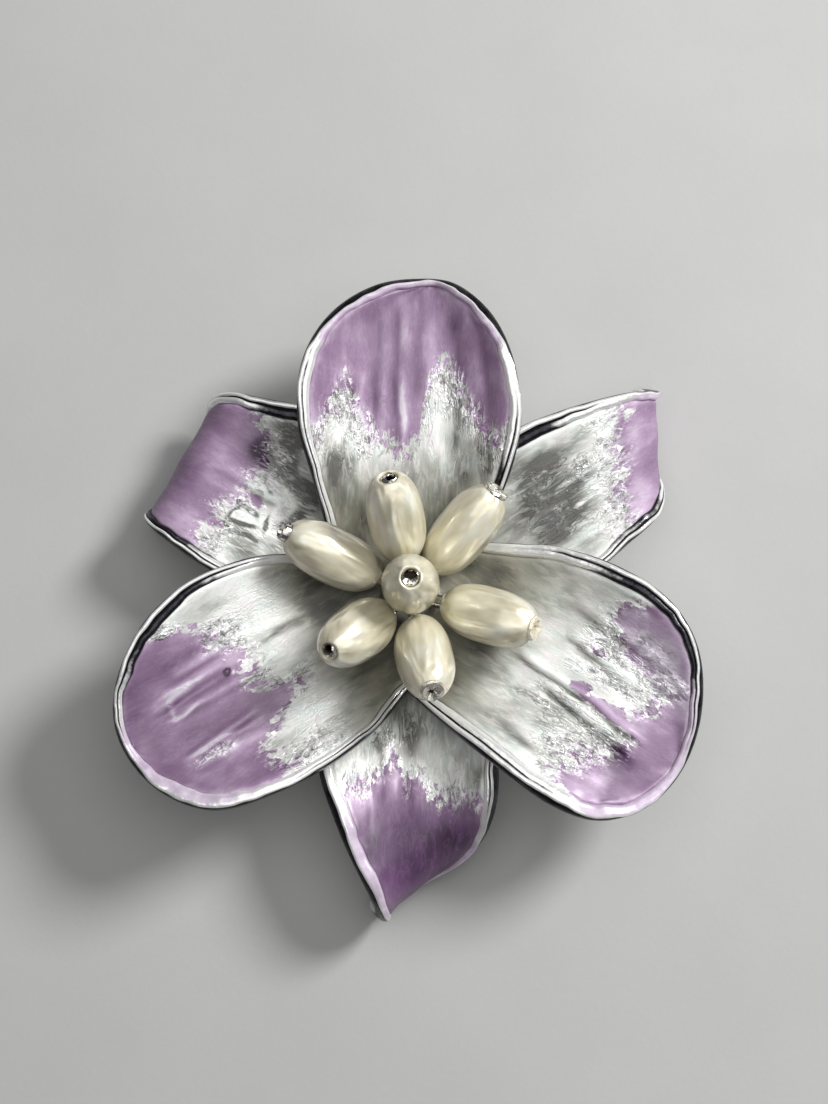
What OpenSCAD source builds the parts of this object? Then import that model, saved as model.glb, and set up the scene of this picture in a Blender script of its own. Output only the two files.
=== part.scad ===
// Flower brooch: three rounded enamelled petals over three pointed ones, a
// spray of seven rice beads on posts, and a bar pin behind. Millimetres.
// The flower faces +Z, the pin's feet and the turned-down petal tips stand on z = 0.

/* [Petals] */
// Floor of the three pointed petals where they meet, above the table
back_hub_height = 4.4; // [4.2:0.1:5.2]
// Floor of the three rounded petals where they meet, above the table
front_hub_height = 6.8; // [6.7:0.1:7.6]
// Thickness of the cast metal under the enamel
metal_wall = 1.0; // [0.8:0.1:1.1]
// Height of the polished rim over the tray floor
rim_height = 0.78; // [0.6:0.02:0.9]
// Width of the polished rim
rim_width = 0.9; // [0.7:0.05:1.1]
// Depth of the lengthwise flutes of the rounded petals
front_flute_depth = 0.24; // [0:0.02:0.3]
// Depth of the lengthwise flutes of the pointed petals
back_flute_depth = 0.14; // [0:0.02:0.2]

/* [Enamel] */
// Thickness of the enamel in the trays
enamel_thickness = 0.4; // [0.3:0.05:0.5]
// Clearance between the enamel and the metal
enamel_clearance = 0.08; // [0.06:0.01:0.1]

/* [Beads] */
// Length of a rice bead
bead_length = 9.0; // [8.4:0.1:9.2]
// Width of a rice bead
bead_width = 5.0; // [4.6:0.1:5.1]
// Width of the hole drilled along a bead
bead_hole = 1.6; // [1.5:0.1:1.9]
// Width of the metal post inside a bead
post_width = 1.25; // [1.0:0.05:1.35]
// Height of the feet of the seven posts
spray_height = 8.3; // [8.2:0.1:8.6]
// How far the feet of the six slanting posts stand from the upright one
post_spread = 1.2; // [1.1:0.1:1.4]
// Height of the middle of the upright bead
heart_height = 14.8; // [14.6:0.1:15.2]

/* [Pin] */
// Length of the pin's bar
bar_length = 29; // [26:1:30]
// Width of the pin's bar
bar_width = 3.2; // [2.6:0.2:4]
// Thickness of the pin's bar
bar_thickness = 1.2; // [1:0.1:1.3]
// How far the bar sits above the middle of the flower, seen from the front
bar_offset = 4; // [3:0.5:5]
// Width of the steel stem
stem_width = 1.0; // [0.8:0.1:1.1]

/* [Mesh] */
// Sections along a petal
petal_rows = 12; // [8:1:16]
// Strips across a petal, an even number
petal_columns = 16; // [8:2:20]

/* [Hidden] */

silver = [0.82, 0.82, 0.84];
lilac = [0.66, 0.52, 0.72];
cream = [0.92, 0.88, 0.78];

// Sections of each petal, base to tip. Columns: distance from the heart, width to the
// left, width to the right, rise over the hub, lift of the left edge, lift of the right edge.
top_sections = [
    [9.0, 8.8, 7.8, 0.8, 1.7, 1.7],
    [14.5, 10.5, 9.2, 1.6, 2.6, 2.6],
    [20.0, 10.3, 8.6, 2.3, 2.6, 2.6],
    [24.4, 8.0, 6.7, 2.7, 1.9, 1.9],
    [27.4, 4.0, 3.7, 2.9, 0.8, 0.8]];
lower_left_sections = [
    [9.0, 8.7, 9.5, 0.8, 1.7, 1.7],
    [14.5, 9.3, 10.7, 1.6, 2.6, 2.6],
    [20.0, 8.8, 10.2, 2.3, 2.6, 2.6],
    [24.7, 7.3, 7.8, 2.7, 1.9, 1.9],
    [27.7, 3.6, 4.6, 2.9, 0.8, 0.8]];
lower_right_sections = [
    [9.0, 10.0, 8.6, 0.8, 1.7, 1.7],
    [14.5, 11.1, 9.4, 1.6, 2.6, 2.6],
    [20.0, 10.7, 9.9, 2.3, 2.6, 2.6],
    [24.3, 8.3, 8.9, 2.7, 1.9, 1.9],
    [27.3, 3.8, 5.7, 2.9, 0.8, 0.8]];
upper_right_sections = [
    [10.0, 8.2, 6.6, 0.7, 0.9, 0.9],
    [15.0, 8.1, 6.7, 1.5, 1.0, 1.0],
    [20.0, 7.4, 5.9, 2.0, 0.6, 0.6],
    [25.5, 6.0, 4.3, 2.1, 0.2, 0.2],
    [29.5, 4.4, 2.4, 2.0, 0.0, 0.0]];
upper_left_sections = [
    [10.0, 6.8, 10.0, 0.7, 0.9, 0.9],
    [15.0, 6.8, 10.6, 1.5, 1.0, 1.0],
    [20.0, 6.5, 9.3, 2.0, 0.6, 0.6],
    [24.5, 5.6, 7.6, 2.1, 0.2, 0.2],
    [28.2, 3.4, 4.8, 2.0, 0.0, 0.0]];
bottom_sections = [
    [10.0, 7.2, 7.8, 0.7, 0.9, 1.0],
    [15.0, 7.8, 8.2, 1.5, 1.0, 1.6],
    [20.0, 7.2, 6.7, 2.0, 0.7, 1.7],
    [24.5, 5.9, 4.7, 2.1, 0.4, 1.2],
    [29.5, 3.9, 2.0, 2.0, 0.1, 0.4]];

// One row per petal, counter-clockwise in its layer. Columns: direction from the heart in
// degrees, sections, tip as [distance, across, rise], turn-down as [start, skew, radius].
flat = [99, 0, 3];
front_layer = [
    [88, top_sections, [28.3, -0.7, 2.9], flat],
    [212, lower_left_sections, [28.7, -0.8, 2.9], flat],
    [329, lower_right_sections, [28.4, -1.2, 2.9], flat]];
back_layer = [
    [31, upper_right_sections, [33.9, 2.6, 2.0], [19.4, -31, 3.0]],
    [151, upper_left_sections, [29.75, 0.5, 2.0], [21.3, 0, 3.0]],
    [270, bottom_sections, [31.9, 0.3, 1.9], [16.7, 39, 3.7]]];
// Notch after each petal: direction in degrees and distance from the heart.
front_notches = [[154, 7.6], [268, 8.6], [42, 7.2]];
back_notches = [[90, 7.0], [208, 7.0], [330, 7.0]];
front_flutes = 4;
back_flutes = 3;
turn_limit = 100;
turn_level = 2.3;

// Rings of the metal's edge from the underside round the rim to the tray floor.
// Columns: distance in from the outline, height over the tray floor.
rings = [
    [0.28, -metal_wall],
    [0, -0.7 * metal_wall],
    [0, 0.45 * rim_height],
    [0.22 * rim_width, 0.92 * rim_height],
    [0.6 * rim_width, rim_height],
    [0.94 * rim_width, 0.64 * rim_height],
    [rim_width, 0]];

// Beads on slanting posts. Columns: direction, slope of the post, distance from the post's
// foot to the middle of the bead, how far the post's end stands out of the bead.
bead_top = [102, 48, 7.3, -0.3];
bead_upper_right = [48.5, 24, 6.4, 0.1];
bead_right = [341, 28, 6.9, -0.2];
bead_bottom = [281, 45, 7.2, 0];
bead_lower_left = [221.5, 47, 7.2, -0.3];
bead_upper_left = [156, 20, 6.7, 0.6];
bead_centre = [0, 90, heart_height - spray_height, -0.25];

// Catmull-Rom curve through the rows of k, u counting rows
function spline(k, u) =
    let (n = len(k), i = min(floor(u), n - 2), f = u - i,
        p0 = k[max(i - 1, 0)], p1 = k[i], p2 = k[i + 1], p3 = k[min(i + 2, n - 1)])
    0.5 * (2 * p1 + (p2 - p0) * f + (2 * p0 - 5 * p1 + 4 * p2 - p3) * f * f
        + (3 * p1 - p0 - 3 * p2 + p3) * f * f * f);

// Notch seen along a petal's own axis: [along, across, rise, lift]
function notch_key(petal, notch) =
    [notch[1] * cos(notch[0] - petal[0]), notch[1] * sin(notch[0] - petal[0]), 0, 0];

// Outline of petal i: left notch, left edge, tip, right edge, right notch
function outline(layer, notches, i) =
    let (p = layer[i], n = len(p[1]), tip = p[2])
    concat([notch_key(p, notches[i])],
        [for (r = p[1]) [r[0], r[1], r[3], r[4]]],
        [[tip[0], tip[1], tip[2], 0]],
        [for (j = [n - 1:-1:0]) let (r = p[1][j]) [r[0], -r[2], r[3], r[5]]],
        [notch_key(p, notches[(i + 2) % 3])]);

// Point of the left (1) or right (-1) edge at t, pulled in from the outline by inset
function edge(k, side, t, inset) =
    let (last = len(k) - 1, u = side > 0 ? t * last / 2 : last - t * last / 2,
        q = spline(k, u), step = 0.02,
        d = spline(k, min(u + step, last)) - spline(k, max(u - step, 0)), m = norm([d[0], d[1]]))
    [q[0] + inset * d[1] / m, q[1] - inset * d[0] / m, q[2], q[3]];

// Turned-down and placed point of a petal, from its distance, across and height over the hub
function placed(p, hub, a, b, z) =
    let (turn = p[3], d = a * cos(turn[1]) + b * sin(turn[1]) - turn[0],
        reach = turn[2] * turn_limit * PI / 180,
        angle = d > 0 ? min(d / turn[2] * 180 / PI, turn_limit) : 0,
        straight = max(d - reach, 0), radius = turn[2] + z - turn_level,
        run = d > 0 ? radius * sin(angle) + straight * cos(angle) - d : 0,
        drop = d > 0 ? radius * (1 - cos(angle)) + straight * sin(angle) : 0,
        a2 = a + run * cos(turn[1]), b2 = b + run * sin(turn[1]))
    [a2 * cos(p[0]) - b2 * sin(p[0]), a2 * sin(p[0]) + b2 * cos(p[0]), hub + z - drop];

// Height of the flutes at s across and t along
function flute(s, t, count, depth) =
    depth * cos(180 * count * s) * (1 - s * s) * sin(180 * pow(t, 0.8));

// Point of the tray floor raised by off; s runs from -1 at the right edge to 1 at the left
function bowl(p, k, hub, flutes, s, t, inset, off) =
    let (l = edge(k, 1, t, inset), r = edge(k, -1, t, inset), w = (1 + s) / 2,
        q = l * w + r * (1 - w), lift = s > 0 ? l[3] : r[3])
    placed(p, hub, q[0], q[1], q[2] + lift * s * s + flute(s, t, flutes[0], flutes[1]) + off);

// Notch point of a ring, pulled in along the line that halves the notch
function ring_notch(layer, keys, hub, i, inset, off) =
    let (h = (i + 2) % 3, c = bowl(layer[i], keys[i], hub, [0, 0], -1, 0, 0, 0),
        a = bowl(layer[i], keys[i], hub, [0, 0], -1, 0, 1, 0) - c,
        b = bowl(layer[h], keys[h], hub, [0, 0], 1, 0, 1, 0) - c, m = norm(a + b))
    c + (a + b) * inset / m + [0, 0, off];

function ring_point(layer, keys, hub, flutes, i, j, inset, off) =
    j == 0 ? ring_notch(layer, keys, hub, i, inset, off)
    : j <= petal_rows ? bowl(layer[i], keys[i], hub, flutes, -1, j / petal_rows, inset, off)
    : bowl(layer[i], keys[i], hub, flutes, 1, 2 - j / petal_rows, inset, off);

// Points of a casting: the rings, the inner floor grid, the inner underside grid, two hubs
function casting_points(layer, keys, hub, flutes) =
    concat(
        [for (g = rings) for (i = [0:2]) for (j = [0:2 * petal_rows - 1])
            ring_point(layer, keys, hub, flutes, i, j, g[0], g[1])],
        [for (g = [rings[len(rings) - 1], rings[0]]) for (i = [0:2]) for (j = [0:petal_rows - 1])
            for (c = [1:petal_columns - 1])
            bowl(layer[i], keys[i], hub, flutes, 2 * c / petal_columns - 1, j / petal_rows, g[0], g[1])],
        [[0, 0, hub], [0, 0, hub - metal_wall]]);

ring_size = 6 * petal_rows;
grid_size = 3 * petal_rows * (petal_columns - 1);
floor_start = len(rings) * ring_size;
under_start = floor_start + grid_size;
hub_start = under_start + grid_size;

function ring_index(ring, i, j) = ring * ring_size + (i * 2 * petal_rows + j) % ring_size;

// Index of the floor (ring 6) or underside (ring 0) point of petal i at row j and column c
function grid_index(ring, start, i, j, c) =
    j == petal_rows ? ring_index(ring, i, petal_rows)
    : c == 0 ? ring_index(ring, i, j)
    : c == petal_columns ? ring_index(ring, i, 2 * petal_rows - j)
    : start + (i * petal_rows + j) * (petal_columns - 1) + c - 1;

// Two triangles of a cell, cut so that both halves of a petal mirror each other
function cell(a, b, c, d, left) = left ? [[a, b, c], [a, c, d]] : [[a, b, d], [b, c, d]];

function flipped(faces) = [for (f = faces) [f[2], f[1], f[0]]];

function grid_faces(ring, start, hub_point) =
    concat(
        [for (i = [0:2]) for (j = [0:petal_rows - 2]) for (c = [0:petal_columns - 1])
            each cell(grid_index(ring, start, i, j, c), grid_index(ring, start, i, j + 1, c),
                grid_index(ring, start, i, j + 1, c + 1), grid_index(ring, start, i, j, c + 1),
                c >= petal_columns / 2)],
        [for (i = [0:2]) for (c = [0:petal_columns - 1])
            [grid_index(ring, start, i, petal_rows - 1, c), ring_index(ring, i, petal_rows),
                grid_index(ring, start, i, petal_rows - 1, c + 1)]],
        [for (i = [0:2]) for (c = [0:petal_columns - 1])
            [hub_point, grid_index(ring, start, i, 0, c), grid_index(ring, start, i, 0, c + 1)]]);

function casting_faces() =
    concat(
        [for (g = [0:len(rings) - 2]) for (q = [0:ring_size - 1])
            let (n = (q + 1) % ring_size, a = g * ring_size, b = a + ring_size)
            each [[a + q, a + n, b + n], [a + q, b + n, b + q]]],
        grid_faces(len(rings) - 1, floor_start, hub_start),
        flipped(grid_faces(0, under_start, hub_start + 1)));

// Enamel of one petal: bottom and top grids, their base corners cut back from the notches
enamel_inset = rim_width + 1.5 * enamel_clearance;
enamel_row = petal_columns + 1;
enamel_side = petal_rows * enamel_row + 1;
enamel_corner = 2 / petal_columns;
corner_cut = 0.8;

function enamel_grid(p, k, hub, flutes, off) =
    concat(
        [for (j = [0:petal_rows - 1]) for (c = [0:petal_columns])
            let (s = 2 * c / petal_columns - 1)
            j == 0 && abs(s) == 1
            ? corner_cut * (bowl(p, k, hub, flutes, s * (1 - enamel_corner), 0, enamel_inset, off)
                + bowl(p, k, hub, flutes, s, 1 / petal_rows, enamel_inset, off)) / 2
                + (1 - corner_cut) * bowl(p, k, hub, flutes, s, 0, enamel_inset, off)
            : bowl(p, k, hub, flutes, s, j / petal_rows, enamel_inset, off)],
        [bowl(p, k, hub, flutes, 0, 1, enamel_inset, off)]);

enamel_rim = concat(
    [for (j = [0:petal_rows - 1]) j * enamel_row],
    [enamel_side - 1],
    [for (j = [petal_rows - 1:-1:0]) j * enamel_row + petal_columns],
    [for (c = [petal_columns - 1:-1:1]) c]);

enamel_top_faces = concat(
    [for (j = [0:petal_rows - 2]) for (c = [0:petal_columns - 1])
        let (a = j * enamel_row + c)
        each cell(a, a + enamel_row, a + enamel_row + 1, a + 1, c >= petal_columns / 2)],
    [for (c = [0:petal_columns - 1]) let (a = (petal_rows - 1) * enamel_row + c)
        [a, enamel_side - 1, a + 1]]);

enamel_faces = concat(
    [for (f = enamel_top_faces) f + [enamel_side, enamel_side, enamel_side]],
    flipped(enamel_top_faces),
    [for (q = [0:len(enamel_rim) - 1])
        let (a = enamel_rim[q], b = enamel_rim[(q + 1) % len(enamel_rim)])
        each [[a, b, b + enamel_side], [a, b + enamel_side, a + enamel_side]]]);

front_keys = [for (i = [0:2]) outline(front_layer, front_notches, i)];
back_keys = [for (i = [0:2]) outline(back_layer, back_notches, i)];
front_shape = [front_flutes / 2, front_flute_depth];
back_shape = [back_flutes / 2, back_flute_depth];
front_points = casting_points(front_layer, front_keys, front_hub_height, front_shape);
back_points = casting_points(back_layer, back_keys, back_hub_height, back_shape);

// Middle of the flower's outline, moved to the origin
all_x = [for (p = concat(front_points, back_points)) p[0]];
all_y = [for (p = concat(front_points, back_points)) p[1]];
middle = [(min(all_x) + max(all_x)) / 2, (min(all_y) + max(all_y)) / 2, 0];

// Profile of a bead from its lower mouth to its upper mouth
bead_steps = 14;
bead_fullness = 2.6;
mouth_lip = 0.25;
mouth_radius = bead_hole / 2 + mouth_lip;
mouth_cut = pow(1 - pow(2 * mouth_radius / bead_width, 2), 1 / bead_fullness);
bead_profile = concat(
    [for (j = [0:bead_steps])
        let (v = -cos(180 * j / bead_steps))
        [bead_width / 2 * pow(1 - pow(abs(v) * mouth_cut, bead_fullness), 0.5), v * bead_length / 2]],
    [[bead_hole / 2, bead_length / 2], [bead_hole / 2, -bead_length / 2]]);

boss_width = 5.6;
boss_top_width = 3.9;
boss_over_feet = 0.4;
boss_gap = 0.05;
post_recess_width = 0.7;
post_recess_depth = 0.7;

hinge_length = 3.4;
hinge_width = 4.0;
catch_length = 2.2;
catch_width = 2.9;
catch_hole = 1.9;
stem_height = 1.3;
stem_point = 2.2;
pin_gap = 0.05;
bar_top = back_hub_height - metal_wall - pin_gap;

module casting(points) {
    translate(-middle)
        polyhedron(points = points, faces = flipped(casting_faces()), convexity = 8);
}

module enamel(layer, keys, hub, shape, i) {
    low = enamel_clearance;
    high = enamel_clearance + enamel_thickness;
    translate(-middle)
        polyhedron(points = concat(enamel_grid(layer[i], keys[i], hub, shape, low),
            enamel_grid(layer[i], keys[i], hub, shape, high)),
            faces = flipped(enamel_faces), convexity = 8);
}

// Stands a piece drawn along Z on the post of a bead, its origin at the bead's middle
module on_post(bead) {
    foot = bead[1] < 90 ? post_spread : 0;
    translate([0, 0, spray_height] - middle)
        rotate([0, 0, bead[0]])
            translate([foot, 0, 0])
                rotate([0, 90 - bead[1], 0])
                    translate([0, 0, bead[2]])
                        children();
}

module drilled_bead(bead) {
    color(cream)
        on_post(bead)
            rotate_extrude($fn = 48)
                polygon(bead_profile);
}

// Post from its foot in the boss through the bead, with a dimpled end
module post(bead) {
    top = bead_length / 2 + bead[3];
    on_post(bead)
        difference() {
            translate([0, 0, -bead[2]])
                cylinder(h = bead[2] + top, d = post_width, $fn = 32);
            translate([0, 0, top - post_recess_depth])
                cylinder(h = 2 * post_recess_depth, d = post_recess_width, $fn = 32);
        }
}

module back_petals() {
    color(silver)
        casting(back_points);
}

module front_petals() {
    color(silver)
        casting(front_points);
}

module enamel_top() {
    color(lilac)
        enamel(front_layer, front_keys, front_hub_height, front_shape, 0);
}

module enamel_lower_left() {
    color(lilac)
        enamel(front_layer, front_keys, front_hub_height, front_shape, 1);
}

module enamel_lower_right() {
    color(lilac)
        enamel(front_layer, front_keys, front_hub_height, front_shape, 2);
}

module enamel_upper_right() {
    color(lilac)
        enamel(back_layer, back_keys, back_hub_height, back_shape, 0);
}

module enamel_upper_left() {
    color(lilac)
        enamel(back_layer, back_keys, back_hub_height, back_shape, 1);
}

module enamel_bottom() {
    color(lilac)
        enamel(back_layer, back_keys, back_hub_height, back_shape, 2);
}

// Boss and seven posts, soldered into one piece
module pearl_holder() {
    base = front_hub_height + boss_gap;
    color(silver) {
        translate([0, 0, base] - middle)
            cylinder(h = spray_height + boss_over_feet - base, d1 = boss_width, d2 = boss_top_width, $fn = 40);
        post(bead_centre);
        post(bead_top);
        post(bead_upper_right);
        post(bead_right);
        post(bead_bottom);
        post(bead_lower_left);
        post(bead_upper_left);
    }
}

module pearl_centre() {
    drilled_bead(bead_centre);
}

module pearl_top() {
    drilled_bead(bead_top);
}

module pearl_upper_right() {
    drilled_bead(bead_upper_right);
}

module pearl_right() {
    drilled_bead(bead_right);
}

module pearl_bottom() {
    drilled_bead(bead_bottom);
}

module pearl_lower_left() {
    drilled_bead(bead_lower_left);
}

module pearl_upper_left() {
    drilled_bead(bead_upper_left);
}

// Open hook that the stem's free end rests in
module catch() {
    difference() {
        rotate([0, 90, 0])
            cylinder(h = catch_length, d = catch_width, $fn = 40);
        translate([-1, 0, 0])
            rotate([0, 90, 0])
                cylinder(h = catch_length + 2, d = catch_hole, $fn = 40);
        translate([-1, 0, -0.35 * catch_hole])
            cube([catch_length + 2, catch_width, 0.7 * catch_hole]);
    }
}

// Bar with a hinge block at one end, an open catch at the other and the stem between them
module brooch_pin() {
    half = bar_length / 2;
    color(silver)
        translate([0, bar_offset, 0]) {
            translate([-half, -bar_width / 2, bar_top - bar_thickness])
                cube([bar_length, bar_width, bar_thickness]);
            translate([half - hinge_length, -hinge_width / 2, 0])
                cube([hinge_length, hinge_width, bar_top - bar_thickness / 2]);
            translate([-half, 0, catch_width / 2])
                catch();
            translate([-half, 0, stem_height])
                rotate([0, 90, 0])
                    cylinder(h = bar_length - hinge_length / 2, d = stem_width, $fn = 24);
            translate([-half, 0, stem_height])
                rotate([0, -90, 0])
                    cylinder(h = stem_point, d1 = stem_width, d2 = 0.3 * stem_width, $fn = 24);
        }
}

back_petals();
front_petals();
enamel_top();
enamel_lower_left();
enamel_lower_right();
enamel_upper_right();
enamel_upper_left();
enamel_bottom();
pearl_holder();
pearl_centre();
pearl_top();
pearl_upper_right();
pearl_right();
pearl_bottom();
pearl_lower_left();
pearl_upper_left();
brooch_pin();
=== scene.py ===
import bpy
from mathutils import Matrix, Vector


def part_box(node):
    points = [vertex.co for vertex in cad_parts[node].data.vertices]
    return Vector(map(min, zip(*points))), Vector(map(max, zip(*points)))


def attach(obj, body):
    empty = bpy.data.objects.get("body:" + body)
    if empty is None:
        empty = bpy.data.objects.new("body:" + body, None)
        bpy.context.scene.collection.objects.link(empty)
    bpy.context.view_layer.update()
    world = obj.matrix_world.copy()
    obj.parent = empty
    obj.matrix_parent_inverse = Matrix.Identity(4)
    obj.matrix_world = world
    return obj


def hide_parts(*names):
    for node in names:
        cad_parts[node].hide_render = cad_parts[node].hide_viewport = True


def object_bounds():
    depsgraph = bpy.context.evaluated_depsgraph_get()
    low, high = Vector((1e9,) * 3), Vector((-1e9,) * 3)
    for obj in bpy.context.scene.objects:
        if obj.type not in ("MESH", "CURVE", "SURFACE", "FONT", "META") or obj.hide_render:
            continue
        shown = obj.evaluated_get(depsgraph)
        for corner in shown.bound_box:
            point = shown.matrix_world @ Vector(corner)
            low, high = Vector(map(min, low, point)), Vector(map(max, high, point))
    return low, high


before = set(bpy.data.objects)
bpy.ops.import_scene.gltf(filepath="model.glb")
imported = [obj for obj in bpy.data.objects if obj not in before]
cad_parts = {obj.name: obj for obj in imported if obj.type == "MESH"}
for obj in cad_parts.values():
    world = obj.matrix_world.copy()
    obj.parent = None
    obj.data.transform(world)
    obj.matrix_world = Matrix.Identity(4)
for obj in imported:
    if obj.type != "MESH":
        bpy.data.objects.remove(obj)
CAD_BOX = [list(map(float, corner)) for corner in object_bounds()]

import math

import bmesh
import bpy
import numpy as np
from bpy.props import FloatProperty, FloatVectorProperty, IntProperty, PointerProperty
from bpy.types import Operator, Panel, PropertyGroup
from mathutils import Matrix, Vector

bl_info = {
    "name": "Flower brooch",
    "version": (1, 0, 0),
    "blender": (4, 5, 0),
    "location": "View3D > Sidebar > Brooch",
    "description": "Enamelled flower brooch with rice beads on a cast metal setting",
    "category": "Object",
}

# Sizes are in mm in the tables and the shapes, and in metres in the scene.
MM = 0.001


def middle_of(node):
    """Middle of a node's box, in metres."""
    low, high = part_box(node)
    return [(a + b) / 2 for a, b in zip(low, high)]


# The upright bead stands over the heart, which every petal is measured from.
HEART = np.array([*middle_of("pearl_centre")[:2], 0.0])
HEART_TOP = middle_of("pearl_centre")[2]

# A turn whose crest is past every tip.
TIP_FLAT = (99.0, 0.0, 3.0)
# Each petal's direction and tip, and its turn: how far out the crest is over which its outer
# part turns down, the crest's skew in degrees, and the radius.
# Sections of each petal, base to tip. Columns: distance from the heart, width to the left,
# width to the right, rise over the hub, lift of the left edge, lift of the right edge.
PETALS = {
    "top": {
        "axis": 88, "layer": "front", "tip": (28.3, -0.7, 2.9), "turn": TIP_FLAT,
        "sections": [
            (9.0, 8.8, 7.8, 0.8, 1.7, 1.7), (14.5, 10.5, 9.2, 1.6, 2.6, 2.6),
            (20.0, 10.3, 8.6, 2.3, 2.6, 2.6), (24.4, 8.0, 6.7, 2.7, 1.9, 1.9),
            (27.4, 4.0, 3.7, 2.9, 0.8, 0.8)]},
    "lower_left": {
        "axis": 212, "layer": "front", "tip": (28.7, -0.8, 2.9), "turn": TIP_FLAT,
        "sections": [
            (9.0, 8.7, 9.5, 0.8, 1.7, 1.7), (14.5, 9.3, 10.7, 1.6, 2.6, 2.6),
            (20.0, 8.8, 10.2, 2.3, 2.6, 2.6), (24.7, 7.3, 7.8, 2.7, 1.9, 1.9),
            (27.7, 3.6, 4.6, 2.9, 0.8, 0.8)]},
    "lower_right": {
        "axis": 329, "layer": "front", "tip": (28.4, -1.2, 2.9), "turn": TIP_FLAT,
        "sections": [
            (9.0, 10.0, 8.6, 0.8, 1.7, 1.7), (14.5, 11.1, 9.4, 1.6, 2.6, 2.6),
            (20.0, 10.7, 9.9, 2.3, 2.6, 2.6), (24.3, 8.3, 8.9, 2.7, 1.9, 1.9),
            (27.3, 3.8, 5.7, 2.9, 0.8, 0.8)]},
    "upper_right": {
        "axis": 31, "layer": "back", "tip": (33.9, 2.6, 2.0), "turn": (19.4, -31.0, 3.0),
        "sections": [
            (10.0, 8.2, 6.6, 0.7, 0.9, 0.9), (15.0, 8.1, 6.7, 1.5, 1.0, 1.0),
            (20.0, 7.4, 5.9, 2.0, 0.6, 0.6), (25.5, 6.0, 4.3, 2.1, 0.2, 0.2),
            (29.5, 4.4, 2.4, 2.0, 0.0, 0.0)]},
    "upper_left": {
        "axis": 151, "layer": "back", "tip": (29.75, 0.5, 2.0), "turn": (21.3, 0.0, 3.0),
        "sections": [
            (10.0, 6.8, 10.0, 0.7, 0.9, 0.9), (15.0, 6.8, 10.6, 1.5, 1.0, 1.0),
            (20.0, 6.5, 9.3, 2.0, 0.6, 0.6), (24.5, 5.6, 7.6, 2.1, 0.2, 0.2),
            (28.2, 3.4, 4.8, 2.0, 0.0, 0.0)]},
    "bottom": {
        "axis": 270, "layer": "back", "tip": (31.9, 0.3, 1.9), "turn": (16.7, 39.0, 3.7),
        "sections": [
            (10.0, 7.2, 7.8, 0.7, 0.9, 1.0), (15.0, 7.8, 8.2, 1.5, 1.0, 1.6),
            (20.0, 7.2, 6.7, 2.0, 0.7, 1.7), (24.5, 5.9, 4.7, 2.1, 0.4, 1.2),
            (29.5, 3.9, 2.0, 2.0, 0.1, 0.4)]},
}
# Petals of a layer counter-clockwise, and the notch after each: direction and distance.
LAYERS = {
    "front": {"petals": ("top", "lower_left", "lower_right"),
              "notches": ((154, 7.6), (268, 8.6), (42, 7.2)), "hub": 6.8, "waves": 2.0, "depth": 0.24},
    "back": {"petals": ("upper_right", "upper_left", "bottom"),
             "notches": ((90, 7.0), (208, 7.0), (330, 7.0)), "hub": 4.4, "waves": 1.5, "depth": 0.14},
}
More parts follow.
